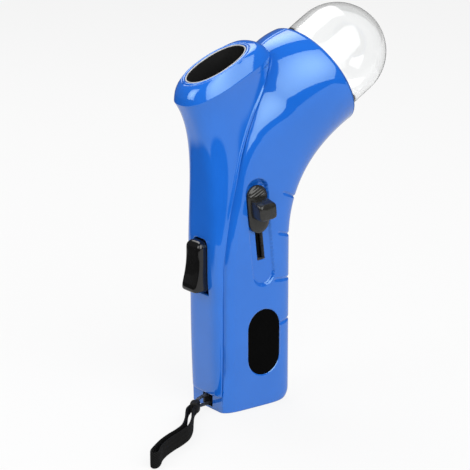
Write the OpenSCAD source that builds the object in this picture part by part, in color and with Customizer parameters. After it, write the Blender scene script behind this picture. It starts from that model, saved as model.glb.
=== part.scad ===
// Hand-held treat launcher: a spring-loaded piston in a leaning tube shoots treats
// out of a slanted oval muzzle, fed from a clear dome on the collar behind it.
// Millimetres. Origin at the centre of the base, +Z up, front towards -Y, dome towards +Y.

/* [Handle] */
// Width of the handle across its sides
handle_w = 31; // [28:0.5:34]
// Front face of the handle, ahead of the base centre
handle_front = 23; // [22:0.5:25]
// Back face of the handle, behind the base centre
handle_back = 24.9; // [23:0.1:27]
// Height of the straight handle, where the elbow and the barrel begin
handle_h = 88; // [84:1:92]
// Wall of the moulded shells
wall = 2; // [1.6:0.1:2.4]
// Gap along every seam between two shells
seam_gap = 0.2; // [0.1:0.05:0.4]
// Height of the rounding at the back of the base
base_round = 6; // [3:0.5:8]

/* [Collar and dome] */
// Distance of the collar's centre behind the base centre
collar_y = 46.8; // [44:0.2:50]
// Height of the collar's centre
collar_z = 163.8; // [160:0.2:168]
// Outer radius of the collar
collar_r = 29; // [28:0.5:31]
// Tilt of the dome's axis above the horizontal
dome_tilt = 31.5; // [28:0.5:35]
// Outer radius of the dome
dome_r = 25; // [23.5:0.1:25.5]
// Wall of the dome
dome_wall = 1.6; // [1.2:0.1:2]
// Length of the dome's straight part outside the collar
dome_straight = 19; // [14:0.5:24]
// Depth of the dome's neck in the collar
neck_depth = 10; // [8:0.5:10.5]
// Clearance of the dome's neck in its socket
neck_clear = 0.3; // [0.2:0.05:0.5]

/* [Muzzle] */
// Length of the oval opening
muzzle_l = 33.6; // [31:0.2:36]
// Width of the oval opening
muzzle_w = 21.2; // [19:0.2:22]
// Slope of the muzzle down to the front
muzzle_tilt = 25.8; // [22:0.2:28]
// Distance of the opening's centre ahead of the base centre
muzzle_y = 13.1; // [11:0.1:15]
// Height of the opening's centre
muzzle_z = 175.2; // [172:0.2:178]
// Depth of the sharp lip edge below the opening
lip_drop = 7.4; // [5:0.2:9]
// Length of the lip edge
lip_l = 52.6; // [50:0.2:56]
// Width of the lip edge
lip_w = 31.2; // [30:0.2:33]
// Wall of the black liner
liner_wall = 0.8; // [0.6:0.1:1]

/* [Launch mechanism] */
// Forward lean of the launch tube
lean = 6.5; // [5:0.25:8]
// Offset of the tube's axis behind the base centre, at the handle's top
tube_y = 3.2; // [2.4:0.1:4]
// Bore radius of the launch tube
tube_r = 8; // [7.5:0.1:8.2]
// Wall of the launch tube
tube_wall = 1.2; // [1:0.1:1.4]
// Clearance of the piston in the tube
piston_clear = 0.15; // [0.1:0.05:0.3]
// Travel of the cocking slider
stroke = 24; // [18:1:25]
// Radius of the launch spring's wire
spring_wire = 0.6; // [0.4:0.05:0.7]
// Turns of the launch spring
spring_turns = 9; // [6:1:12]
// Radius of the cocking pin
pin_r = 1.55; // [1.2:0.05:1.7]

/* [Slider] */
// Width of the slider's plate
plate_w = 12; // [10:0.5:12.4]
// Length of the slider's plate
plate_l = 24.5; // [22:0.5:26]
// Reach of the thumb block beyond the handle's side
block_reach = 9; // [6:0.5:11]
// Width of the slot that the slider's stem runs in
slot_w = 4.6; // [4.4:0.1:5.2]
// Depth of the recess in the handle's side
recess_depth = 1.6; // [1.2:0.1:2]
// Clearance round the slider
slide_clear = 0.3; // [0.2:0.05:0.5]

/* [Trigger] */
// Width of the trigger
trigger_w = 12; // [9:0.5:12.5]
// Height of the trigger's lower end
trigger_low = 63.2; // [61:0.2:65]
// Height of the trigger's upper end
trigger_top = 88.8; // [87:0.2:91]
// Reach of the trigger's upper end beyond the handle
trigger_proud_top = 5.2; // [3:0.2:6]
// Reach of the trigger's lower end beyond the handle
trigger_proud_low = 8.8; // [5:0.2:10]
// Radius of the trigger's pivot pin
pivot_r = 1.5; // [1.2:0.05:1.7]
// Clearance of the trigger on its pin
pivot_clear = 0.06; // [0.04:0.01:0.1]

/* [Badge and screws] */
// Width of the oval badge
badge_w = 20; // [16:0.5:22]
// Height of the oval badge
badge_h = 34.6; // [30:0.2:36]
// Height of the badge's centre
badge_z = 34; // [32:0.5:35]
// Thickness of the badge plate
badge_t = 0.8; // [0.6:0.1:1]
// Radius of a shell screw's shank
screw_r = 1.1; // [0.9:0.05:1.3]

/* [Strap] */
// Width of the webbing
webbing_w = 8; // [7:0.5:10]
// Thickness of the webbing
webbing_t = 1.2; // [0.8:0.1:1.6]
// Diameter of the cord loop
loop_d = 1.8; // [1.4:0.1:2.2]
// Radius of the cross pin that the loop goes round
strap_pin_r = 1.2; // [1:0.1:1.4]

/* [Hidden] */
$fn = 64;

blue = [0.10, 0.36, 0.80];
black = [0.08, 0.08, 0.09];
steel = [0.70, 0.70, 0.72];
grey = [0.45, 0.46, 0.48];
pale = [0.80, 0.81, 0.82];
far = 300;
eps = 0.01;

// Elbow: flat sections fan out round a pivot behind the body, from the handle's top to the rim
side = handle_w / 2;
fan_deg = 90 - dome_tilt;
rim_arm = (collar_z - handle_h) / cos(dome_tilt);
pivot_y = collar_y + rim_arm * sin(dome_tilt);
back_ease = 0.6;
neck_swell = 5;
square_n = 5;
sides = 32;
fan_steps = 12;

// Barrel: sections fan out round a pivot far ahead of the body, up to the lip's plane
lip_y = -muzzle_y + lip_drop * sin(muzzle_tilt) - 0.4;
lip_z = muzzle_z - lip_drop * cos(muzzle_tilt);
barrel_pivot_y = lip_y - (lip_z - handle_h) / tan(muzzle_tilt);
lip_front = lip_y - lip_l / 2 * cos(muzzle_tilt);
lip_rear = lip_y + lip_l / 2 * cos(muzzle_tilt);
barrel_neck = side - 2.5;
barrel_steps = 12;
rim_band = 2.6;
shoulder = 2;
cover_taper = 1.6;
cover_taper_h = 56;
cover_step = 1.1;
cover_step_h = 14;
cover_foot = 8;

// Seam between the front cover and the rear shells, seen from the side
seam_y = handle_front - 4.4;
seam = [
    [-seam_y, 0], [-seam_y, handle_h - 12], [-seam_y + 1.7, handle_h + 2], [-seam_y + 4.2, handle_h + 17],
    [-seam_y + 7.2, handle_h + 29], [-7.8, 131.7], [-3.5, 143.6], [0.7, 153], [5.5, 161.3],
    [9.2, 169.3], [lip_rear - 2.1, 174.4], [lip_rear + 0.2, 178.6], [lip_rear + 0.4, 182]
];

// Socket of the dome and ledge of the hopper
socket_r = dome_r + neck_clear;
socket_depth = neck_depth + 2;
hopper_bore = socket_r - 2.1;
flange_t = 1.2;
cavity_end = 0.858;

// Launch tube and what runs in it, as distances along its axis from the handle's top
tube_or = tube_r + tube_wall;
tube_foot = -36;
tube_head = 76;
seat_s = tube_foot + 3;
piston_r = tube_r - piston_clear;
piston_foot = -2;
piston_floor = 12;
piston_head = 34;
pin_s = 15.7;
port_s = 47;
port_r = 7;
spring_r = 4.9;
plug_flange = 1.5;
plug_peg = 5;
// Cocking pin: where it starts beside the tube's axis, and the cover left on its outer end
pin_start = 1;
pin_cover = 3;

// Slider on the right side
recess_low = pin_s - plate_l / 2 - stroke - 4;
recess_high = pin_s + plate_l / 2 + 3.6;
recess_w = plate_w + 1.6;
floor_x = side - recess_depth;
plate_x = floor_x + slide_clear;
plate_t = 2.4;
stem_l = 5;
stem_x = tube_or + 1;
block_l = 8;
block_w = plate_w - 2;

// Trigger, its pivot in the tube's frame and its catch nose
pivot_local = [-19, -6];
hub_r = 3.6;
ear_gap = trigger_w / 2 + 0.5;
ear_t = 2;
nose_s = 6.2;
nose_t = 3;
nose_w = 4.6;
nose_reach = 0.35;
pocket_depth = 1.45;
catch_play = 1;
trigger_back = handle_front - 4.6;
trigger_dish = 1.6;
trigger_round = 3.6;
trigger_gap = 0.4;
trigger_swing = 2.2;
coil_wire = 0.3;
coil_pitch = 1.05;
coil_turns = 2.7;
coil_gap = 0.3;
coil_clear = 0.1;
// Left end of the trigger's hub, just past the coil
hub_x = -trigger_w / 2 + coil_gap + coil_pitch * coil_turns + coil_wire + coil_clear;

// Oval inlay: distance behind the middle, and its seat's floor
badge_y = 5.4;
badge_x = side - badge_t - 0.3;

// Snap hooks of the front cover
hook_x = side - 8.5;
hook_t = 1.6;
hook_w = 5;

// Screws of the rear shells: place behind the base, height, depth of the head from the middle
screws = [[18.4, 10, 12], [18.4, 44, 12], [19.4, 98, 12.5], [35, 129, 13], [-11, 24, 12]];
boss_r = 3.6;
head_r = 2.3;
head_t = 1.8;
screw_end = 8;
screw_clear = 0.15;
lap_w = 5;
lap_l = 16;

// Strap: cord loop round the cross pin, then the webbing's hairpin on the floor
strap_pin_at = [-13.6, 4.6];
strap_hole_w = 10;
strap_hole_h = 6.8;
webbing_z = webbing_w / 2 + 0.2;
clamp_at = [5, -30];
clamp_l = 5;
clamp_w = 6.4;
loop_route = [
    [2.6, -27.2, 6.2], [1.6, -24.4, 6.7], [0.6, -20.5, 7], [0.1, -17, 7.1], [0, -14, 7.1],
    [0, -11.9, 6.3], [0, -11.1, 4.6], [0, -11.9, 2.9], [0, -14, 2.1], [0.1, -17, 2.1],
    [0.6, -20.5, 2.2], [1.6, -24.4, 2.5], [2.6, -27.2, 3]
];
webbing_route = [
    [6.1, -33.8], [9.6, -37.9], [15.6, -42.7], [22.9, -48.3], [29.3, -54.5], [33, -60.8], [35.8, -67.2],
    [39.3, -73.8], [43.3, -79.6], [46.7, -84], [49.2, -86.1], [51.3, -86.5], [51.9, -84.6], [50, -81.9],
    [45.8, -77.8], [41.9, -72.2], [38.6, -65.8], [35.8, -59.4], [31.7, -52.5], [25, -45.9], [17.5, -40.3],
    [11.5, -35.5], [8.4, -31.6]
];

// Helpers
function mix(a, b, t) = a + (b - a) * t;
function smooth(t) = t * t * (3 - 2 * t);
function power(v, p) = sign(v) * pow(abs(v), p);
function across(t, n) = power(cos(t), 2 / n);
function along(t, n) = power(sin(t), 2 / n);
function clamp(t) = max(0, min(1, t));

// Handle section at height z: a rounded rectangle that draws in at the back of the base
function base_inset(z) =
    z >= base_round ? 0 : base_round * (1 - sqrt(1 - pow(1 - z / base_round, 2))) * 0.8;
function front_inset(z) =
    cover_taper * pow(clamp(1 - z / cover_taper_h), 2)
    + cover_step * (1 - smooth(clamp((z - cover_taper_h) / cover_step_h)));
handle_levels = concat([cover_taper_h / 2],
    [for (k = [0:3]) cover_taper_h + cover_step_h * k / 3]);
function handle_ring(z, o) =
    let (y0 = -handle_front + front_inset(z) + o, y1 = handle_back - base_inset(z) - o)
    [for (i = [0:sides - 1]) let (t = 360 * i / sides)
        [(side - o) * across(t, square_n), (y0 + y1) / 2 + (y1 - y0) / 2 * along(t, square_n), z]];

// Elbow section at share u of the fan, drawn in by o
function elbow_half(u) = mix(side, collar_r, smooth(pow(u, 1.7)));
function elbow_back(u) = mix(pivot_y - handle_back, rim_arm - collar_r, u) + back_ease * sin(180 * u);
function elbow_front(u) =
    mix(pivot_y + handle_front, rim_arm + collar_r, u) - neck_swell * sin(360 * pow(u, 1.25));
function elbow_n(u) = 2 + (square_n - 2) * pow(1 - u, 1.2);
function elbow_front_n(u) =
    mix(square_n + 1.2 * sin(180 * clamp(2 * u)), 1.75, smooth(clamp((u - 0.31) / 0.4)))
        + 0.25 * smooth(clamp((u - 0.75) / 0.25));
function elbow_ring(u, o) =
    let (f = fan_deg * u, r0 = elbow_back(u) + o, r1 = elbow_front(u) - o)
    [for (i = [0:sides - 1])
        let (t = 360 * i / sides, n = t <= 180 ? elbow_n(u) : elbow_front_n(u),
             r = (r0 + r1) / 2 - (r1 - r0) / 2 * along(t, n))
        [(elbow_half(u) - o) * across(t, n), pivot_y - r * cos(f), handle_h + r * sin(f)]];

// Barrel section at share v of its fan, drawn in by o
function barrel_half(v) = mix(side, barrel_neck, smooth(v)) + (lip_w / 2 - barrel_neck) * pow(v, 9);
function barrel_front(v) = mix(-handle_front, lip_front, pow(v, 4));
function barrel_rear(v) = mix(handle_back, lip_rear, 1 - pow(1 - v, 1.5));
function barrel_n(v) = 2.6 + (square_n - 2.6) * pow(1 - v, 1.2);
function barrel_rear_n(v) = barrel_n(v) + 1.2 * pow(v, 3);
function barrel_ring(v, o) =
    let (f = muzzle_tilt * v,
         r0 = (barrel_front(v) - barrel_pivot_y) / cos(f) + o,
         r1 = (barrel_rear(v) - barrel_pivot_y) / cos(f) - o)
    [for (i = [0:sides - 1])
        let (t = 360 * i / sides, n = t < 180 ? barrel_rear_n(v) : barrel_n(v),
             r = (r0 + r1) / 2 + (r1 - r0) / 2 * along(t, n))
        [(barrel_half(v) - o) * across(t, n), barrel_pivot_y + r * cos(f), handle_h + r * sin(f)]];

// Oval ring in the muzzle's plane, grown by g and raised by h along the plane's normal
function muzzle_ring(g, h) =
    [for (i = [0:sides - 1])
        let (t = 360 * i / sides, b = (muzzle_l / 2 + g) * along(t, 2.2))
        [(muzzle_w / 2 + g) * across(t, 2.2),
         -muzzle_y + b * cos(muzzle_tilt) - h * sin(muzzle_tilt),
         muzzle_z + b * sin(muzzle_tilt) + h * cos(muzzle_tilt)]];

// Ring half-way up the slope from the lip to the muzzle, swelled into a round shoulder at the rear
function shoulder_ring() =
    let (low = barrel_ring(1, 0), high = muzzle_ring(rim_band, 0))
    [for (i = [0:sides - 1])
        let (h = 0.3 + shoulder * smooth(clamp((along(360 * i / sides, 2) - 0.2) / 0.7)))
        (low[i] + high[i]) / 2 + [0, 0.4 * h, 0.92 * h]];

// A point of the tube's own frame: x stays, y2 is across the axis, s runs along it
function tube_point(x, y2, s) =
    [x, tube_y + y2 * cos(lean) - s * sin(lean), handle_h + y2 * sin(lean) + s * cos(lean)];
function tube_ring(r, s) =
    [for (i = [0:sides - 1]) let (t = 360 * i / sides) tube_point(r * cos(t), r * sin(t), s)];
function blend_rings(a, b, t) = [for (i = [0:sides - 1]) mix(a[i], b[i], t)];

// A point of the dome's frame: d runs out along its axis from the rim
function dome_point(x, q, d) =
    [x, collar_y + q * sin(dome_tilt) + d * cos(dome_tilt),
     collar_z - q * cos(dome_tilt) + d * sin(dome_tilt)];
function dome_ring(r, d) =
    [for (i = [0:sides - 1]) let (t = 360 * i / sides) dome_point(r * cos(t), r * sin(t), d)];

// Closed solid through a stack of rings
function quad_faces(n, rows, start, flip) =
    [for (k = [0:rows - 2], i = [0:n - 1])
        let (a = start + k * n + i, b = start + k * n + (i + 1) % n, c = a + n, d = b + n)
        each (flip ? [[a, b, d], [a, d, c]] : [[a, d, b], [a, c, d]])];
module loft(rings) {
    n = len(rings[0]);
    rows = len(rings);
    points = [for (r = rings) each r];
    ends = [[for (i = [0:n - 1]) i], [for (i = [n - 1:-1:0]) (rows - 1) * n + i]];
    polyhedron(points, concat(quad_faces(n, rows, 0, false), ends), convexity = 10);
}

// Open sleeve between an outer and an inner stack of rings, closed at its two rims
module sleeve(outer, inner) {
    n = len(outer[0]);
    rows = len(outer);
    points = concat([for (r = outer) each r], [for (r = inner) each r]);
    shift = rows * n;
    low = [for (i = [0:n - 1]) let (j = (i + 1) % n) each [[i, j, shift + j], [i, shift + j, shift + i]]];
    top = (rows - 1) * n;
    high = [for (i = [0:n - 1]) let (j = (i + 1) % n)
        each [[top + i, shift + top + j, top + j], [top + i, shift + top + i, shift + top + j]]];
    polyhedron(points, concat(quad_faces(n, rows, 0, false), quad_faces(n, rows, shift, true), low, high),
        convexity = 10);
}

module elbow(o, low, end) {
    straight = low > 0
        ? [for (z = concat([low], handle_levels)) handle_ring(z, o)]
        : concat([for (k = [0:3]) handle_ring(base_round * k / 4, o)],
                 [for (z = concat([base_round], handle_levels)) handle_ring(z, o)]);
    loft(concat(straight, [for (k = [0:fan_steps]) elbow_ring(end * k / fan_steps, o)]));
}

module barrel(o, low, end, head) {
    straight = [for (z = concat([low], handle_levels)) handle_ring(z, o)];
    fan = [for (k = [0:barrel_steps]) barrel_ring(end * sqrt(k / barrel_steps), o)];
    loft(concat(straight, fan, head ? [shoulder_ring(), muzzle_ring(rim_band, 0)] : []));
}

// Everything ahead of the seam, moved back by d
module ahead_of_seam(d) {
    outline = concat([[-far, -far], [seam[0][0], -far]], seam,
        [[seam[len(seam) - 1][0], far], [-far, far]]);
    translate([0, d, 0]) rotate([90, 0, 90]) linear_extrude(height = far, center = true) polygon(outline);
}

module tube_frame() {
    translate([0, tube_y, handle_h]) rotate([lean, 0, 0]) children();
}
module dome_frame() {
    translate([0, collar_y, collar_z]) rotate([dome_tilt - 90, 0, 0]) children();
}
module across_x(y, z) {
    translate([0, y, z]) rotate([0, 90, 0]) children();
}
module stadium(w, h) {
    square([w, h - w], center = true);
    for (k = [-1, 1]) translate([0, k * (h - w) / 2]) circle(d = w);
}
// A stadium standing on the right side, from depth x0 outwards by t; z runs along h
module side_stadium(w, h, x0, t) {
    translate([x0, 0, 0]) rotate([90, 0, 90]) linear_extrude(height = t) stadium(w, h);
}

// Features that stay solid inside the rear shells: bosses, ribs, slider pad and strap wall
module inner_features() {
    for (s = screws) across_x(s[0], s[1]) cylinder(r = boss_r, h = far, center = true, $fn = 24);
    for (s = screws, k = [-1, 1]) hull() {
        translate([k * side / 2, s[0], s[1]]) cube([side - 3, 1.6, 1.6], center = true);
        translate([k * side, s[0], s[1] - 7]) cube([3, 1.6, 1.6], center = true);
    }
    tube_frame() for (s = [tube_foot + 5, piston_floor + 18]) difference() {
        translate([0, 0, s]) cube([far, far, 2], center = true);
        cylinder(r = tube_or + 0.1, h = far, center = true);
        translate([0, -far / 2 - tube_or + 3, s])
            cube([2 * ear_gap + 2 * ear_t + 1, far, 4], center = true);
    }
    tube_frame() translate([0, 0, (recess_low + recess_high) / 2])
        side_stadium(recess_w + 2 * wall, recess_high - recess_low + 2 * wall, floor_x - wall, far);
    translate([-far / 2, -seam_y - 1, -1]) cube([far, wall + 2.4, cover_foot + 2]);
    difference() {
        ahead_of_seam(seam_gap / 2 + wall);
        barrel(wall, wall, 0.965, false);
    }
}

// Tongue of the right shell's floor that laps past the middle, grown by g for its seat
module floor_lap(g) {
    translate([-lap_w - g, -lap_l / 2 - g, -1]) cube([lap_w + g + 1, lap_l + 2 * g, wall + 1]);
}

module rear_shells() {
    difference() {
        elbow(0, 0, 1);
        difference() {
            elbow(wall, wall, cavity_end);
            inner_features();
        }
        ahead_of_seam(seam_gap / 2);
        dome_frame() translate([0, 0, -socket_depth]) cylinder(r = socket_r, h = socket_depth + 5);
        dome_frame() translate([0, 0, -socket_depth - 14]) cylinder(r = hopper_bore, h = 20);
        translate([-strap_hole_w / 2, -seam_y - 5, strap_pin_at[1] - strap_hole_h / 2])
            cube([strap_hole_w, 12, strap_hole_h]);
        across_x(strap_pin_at[0], strap_pin_at[1])
            cylinder(r = strap_pin_r + 0.05, h = 2 * strap_hole_w, center = true, $fn = 24);
    }
}

// Right rear shell, with the slider's recess and slot and the badge's seat
module right_shell() {
    color(blue) difference() {
        rear_shells();
        difference() {
            translate([-far + seam_gap / 4, -far, -far]) cube([far, 2 * far, 2 * far]);
            floor_lap(0);
        }
        for (s = screws) translate([-eps, s[0], s[1]]) rotate([0, 90, 0])
            cylinder(r = screw_r, h = screw_end + 0.5, $fn = 24);
        tube_frame() translate([0, 0, (recess_low + recess_high) / 2])
            side_stadium(recess_w, recess_high - recess_low, floor_x, far);
        tube_frame() translate([stem_x - 2, -slot_w / 2, pin_s - stroke - stem_l / 2 - slide_clear])
            cube([far, slot_w, stroke + stem_l + 2 * slide_clear]);
        translate([0, badge_y, badge_z]) side_stadium(badge_w + 0.2, badge_h + 0.2, badge_x, far);
    }
}

// Left rear shell, with the screw holes
module left_shell() {
    color(blue) difference() {
        rear_shells();
        translate([-seam_gap / 4, -far, -far]) cube([far, 2 * far, 2 * far]);
        floor_lap(seam_gap / 2);
        for (s = screws) translate([0, s[0], s[1]]) rotate([0, -90, 0]) {
            translate([0, 0, -1]) cylinder(r = screw_r + screw_clear, h = far, $fn = 24);
            translate([0, 0, s[2] - head_t]) cylinder(r = head_r + screw_clear, h = far, $fn = 24);
        }
    }
}

// Front cover with its snap hooks, the barrel and the lip of the muzzle
module front_cover() {
    color(blue) {
        difference() {
            barrel(0, cover_foot, 1, true);
            barrel(wall, cover_foot + wall, 0.965, false);
            difference() {
                translate([-far / 2, -far / 2, -far / 2]) cube(far * 2);
                ahead_of_seam(-seam_gap / 2);
            }
            loft(liner_rings(liner_wall + 0.12, 6));
            rotate([90, 0, 0]) linear_extrude(height = far)
                trigger_outline(trigger_gap, trigger_swing, 0.8);
        }
        for (k = [-1, 1], z = [16, 31, 44, handle_h + 8]) hull() {
            translate([k * hook_x, -handle_front + front_inset(z) + 4, z])
                cube([hook_t, 4.6, hook_w], center = true);
            translate([k * (hook_x - 0.2), -handle_front + 9, z])
                cube([hook_t - 0.4, 1, hook_w], center = true);
        }
    }
}

// Liner: oval at the muzzle, round where it slips over the tube's head
liner_foot = tube_head - 10;
function liner_rings(g, over) =
    let (low = tube_ring(tube_or + 0.15 + g, liner_foot), high = muzzle_ring(g, 0))
    concat([low, tube_ring(tube_or + 0.15 + g, tube_head - 6)],
           [for (k = [1:4]) blend_rings(tube_ring(tube_or + 0.15 + g, tube_head - 6), high, smooth(k / 5))],
           over > 0 ? [muzzle_ring(g, -0.6), muzzle_ring(g, over)] : [high]);
module muzzle_liner() {
    color(black) sleeve(liner_rings(liner_wall, 0), liner_rings(0, 0));
}

// Launch tube with the slider's slot, the treat port, the catch window and the trigger's ears
module launch_tube() {
    color(grey) tube_frame() difference() {
        union() {
            translate([0, 0, tube_foot]) cylinder(r = tube_or, h = tube_head - tube_foot);
            for (k = [-1, 1]) translate([k * (ear_gap + ear_t / 2), 0, 0]) {
                translate([-ear_t / 2, pivot_local[0], pivot_local[1] - hub_r])
                    cube([ear_t, -pivot_local[0] - 4, 2 * hub_r]);
                translate([0, pivot_local[0], pivot_local[1]]) rotate([0, 90, 0])
                    cylinder(r = hub_r, h = ear_t, center = true);
            }
        }
        translate([0, 0, tube_foot - 1]) cylinder(r = tube_r, h = tube_head - tube_foot + 2);
        translate([0, pivot_local[0], pivot_local[1]]) rotate([0, 90, 0])
            cylinder(r = pivot_r + 0.02, h = far, center = true);
        translate([0, -slot_w / 2, pin_s - stroke - pin_r - 0.6])
            cube([far, slot_w, stroke + 2 * pin_r + 1.2]);
        translate([0, 0, port_s]) rotate([-90, 0, 0]) cylinder(r = port_r, h = far);
        translate([-nose_w / 2 - 0.6, -far, nose_s - nose_t]) cube([nose_w + 1.2, far, 2 * nose_t + 2]);
    }
}

// Piston: hollow skirt for the spring, solid head, and two pockets for the catch nose
module piston() {
    color("whitesmoke") tube_frame() difference() {
        translate([0, 0, piston_foot]) cylinder(r = piston_r, h = piston_head - piston_foot);
        translate([0, 0, piston_foot - 1])
            cylinder(r = spring_r + spring_wire + 0.5, h = piston_floor - piston_foot + 1);
        translate([0, 0, pin_s]) rotate([0, 90, 0]) cylinder(r = pin_r + 0.03, h = far);
        translate([0, 0, piston_head + 12]) sphere(r = 14);
        for (s = [nose_s, nose_s + stroke])
            translate([-nose_w / 2 - 0.6, -far - piston_r + pocket_depth,
                       s - nose_t / 2 - catch_play - 0.6])
                cube([nose_w + 1.2, far, nose_t + 2 * catch_play]);
    }
}

// Tube of 6 sides swept along points, each with its own frame given by side and up directions
function unit(v) = v / norm(v);
function sweep_ring(p, a, b, w, h, count) =
    [for (i = [0:count - 1]) let (t = 360 * (i + 0.5) / count) p + a * w * cos(t) + b * h * sin(t)];

// Spring wire along a helix of radius r, from z0 to z1; rings share the helix's own frame
wire_sides = 6;
rings_per_turn = 8;
function helix_point(r, z0, z1, turns, k) =
    let (t = k / (rings_per_turn * turns), a = 360 * turns * t) [r * cos(a), r * sin(a), mix(z0, z1, t)];
function helix_ring(r, z0, z1, turns, k, wire) =
    let (a = 360 * k / rings_per_turn, out = [cos(a), sin(a), 0],
         slope = (z1 - z0) / (2 * PI * r * turns), tangent = unit([-sin(a), cos(a), slope]))
    sweep_ring(helix_point(r, z0, z1, turns, k), out, cross(tangent, out), wire, wire, wire_sides);
module helix(r, z0, z1, turns, wire) {
    loft([for (k = [0:round(rings_per_turn * turns)]) helix_ring(r, z0, z1, turns, k, wire)]);
}
function helix_gap(r, z0, z1, turns, wire) =
    min([for (k = [4:round(rings_per_turn * (turns - 1))])
        norm(helix_point(r, z0, z1, turns, k) - helix_point(r, z0, z1, turns, k + rings_per_turn))])
    - 2 * wire;
echo(launch_spring_gap = helix_gap(
    spring_r, seat_s + spring_wire, piston_floor - spring_wire, spring_turns, spring_wire));

module launch_spring() {
    color(steel) tube_frame()
        helix(spring_r, seat_s + spring_wire + 0.05, piston_floor - spring_wire - 0.05, spring_turns,
              spring_wire);
}

// Plug that closes the tube's foot and centres the spring
module spring_plug() {
    color(grey) tube_frame() {
        translate([0, 0, tube_foot]) cylinder(r = tube_r - 0.05, h = seat_s - tube_foot);
        translate([0, 0, tube_foot - plug_flange]) cylinder(r = tube_or, h = plug_flange);
        translate([0, 0, seat_s - eps]) cylinder(r = spring_r - spring_wire - 0.4, h = plug_peg);
    }
}

module cocking_pin() {
    color(steel) tube_frame() translate([pin_start, 0, pin_s]) rotate([0, 90, 0])
        cylinder(r = pin_r, h = side + block_reach - pin_start - pin_cover);
}

// Slider: plate with round ends, thumb block and the stem that runs in the slot
module slider_knob() {
    color(black) tube_frame() translate([0, 0, pin_s]) difference() {
        union() {
            side_stadium(plate_w, plate_l, plate_x, plate_t);
            translate([plate_x + plate_t - eps, -block_w / 2, -block_l / 2])
                cube([side + block_reach - plate_x - plate_t, block_w, block_l]);
            translate([stem_x, -slot_w / 2 + slide_clear, -stem_l / 2])
                cube([plate_x - stem_x + eps, slot_w - 2 * slide_clear, stem_l]);
        }
        rotate([0, 90, 0]) cylinder(r = pin_r + 0.03, h = side + block_reach - pin_cover + 0.4);
    }
}

// Trigger: dished finger face, hub on the pivot pin and an arm with the catch nose
pivot = tube_point(0, pivot_local[0], pivot_local[1]);
nose = tube_point(0, -tube_r - nose_reach, nose_s);
trigger_points = 12;
function trigger_face(t) =
    [-handle_front - mix(trigger_proud_low, trigger_proud_top, t) + trigger_dish * sin(180 * t)
        + 1.6 * (pow(2 * t - 1, 8)), mix(trigger_low, trigger_top, t)];
// The trigger seen from the front, grown by g at the sides, low below and high above
module trigger_outline(g, low, high) {
    w = trigger_w / 2 + g;
    r = trigger_round + g;
    translate([-w, trigger_low - low]) square([2 * w, trigger_top + high - r - trigger_low + low]);
    translate([-w + r, trigger_top + high - r - eps]) square([2 * (w - r), r + eps]);
    for (k = [-1, 1]) translate([k * (w - r), trigger_top + high - r]) circle(r = r, $fn = 32);
}
module side_slab(w, x0) {
    translate([x0, 0, 0]) rotate([90, 0, 90]) linear_extrude(height = w) children();
}
module trigger() {
    color(black) difference() {
        union() {
            intersection() {
                side_slab(trigger_w, -trigger_w / 2) polygon(concat(
                    [for (k = [0:trigger_points]) trigger_face(k / trigger_points)],
                    [[-trigger_back, trigger_top], [-trigger_back, trigger_low]]));
                rotate([90, 0, 0]) linear_extrude(height = far) trigger_outline(0, 0, 0);
            }
            side_slab(trigger_w / 2 - hub_x, hub_x) translate([-trigger_back - 1, pivot[2] - hub_r])
                square([trigger_back + 1 + pivot[1], 2 * hub_r]);
            translate([hub_x, pivot[1], pivot[2]]) rotate([0, 90, 0])
                cylinder(r = hub_r, h = trigger_w / 2 - hub_x);
            side_slab(nose_w, -nose_w / 2) translate([pivot[1] - 2, pivot[2]])
                square([4, nose[2] + nose_t / 2 - pivot[2]]);
            side_slab(nose_w, -nose_w / 2) translate([pivot[1], nose[2] - nose_t / 2])
                square([nose[1] - pivot[1], nose_t]);
        }
        across_x(pivot[1], pivot[2]) cylinder(r = pivot_r + pivot_clear, h = far, center = true);
        translate([-trigger_w / 2 - eps, pivot[1] - hub_r - 0.4, pivot[2] - hub_r - 1])
            cube([trigger_w / 2 + hub_x + eps, 2 * hub_r + 4, 2 * hub_r + 2]);
    }
}

module trigger_pin() {
    color(steel) across_x(pivot[1], pivot[2])
        cylinder(r = pivot_r, h = 2 * (ear_gap + ear_t) + 1, center = true);
}

// Torsion coil on the trigger's pin
module trigger_spring() {
    color(steel) translate([-trigger_w / 2 + coil_gap, pivot[1], pivot[2]]) rotate([0, 90, 0])
        helix(pivot_r + coil_wire + coil_gap + 0.05, 0, coil_pitch * coil_turns, coil_turns, coil_wire);
}

// Chute from the dome's socket to the tube's port
function chute_foot(r, y2) =
    [for (i = [0:sides - 1]) let (t = 360 * i / sides) tube_point(r * cos(t), y2, port_s - r * sin(t))];
function chute_rings(r_top, r_low, y2, lift) =
    let (low = chute_foot(r_low, y2), high = dome_ring(r_top, -socket_depth + lift))
    [for (k = [0:5]) blend_rings(low, high, k / 5)];
module hopper_funnel() {
    color(black) {
        sleeve(chute_rings(hopper_bore - 0.3, port_r + 1, tube_or + 0.2, 0),
               chute_rings(hopper_bore - 1.5, port_r, tube_or + 0.2, 0));
        dome_frame() translate([0, 0, -socket_depth]) difference() {
            cylinder(r = socket_r - 0.3, h = flange_t);
            translate([0, 0, -1]) cylinder(r = hopper_bore - 1.5, h = flange_t + 2);
        }
    }
}

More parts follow.
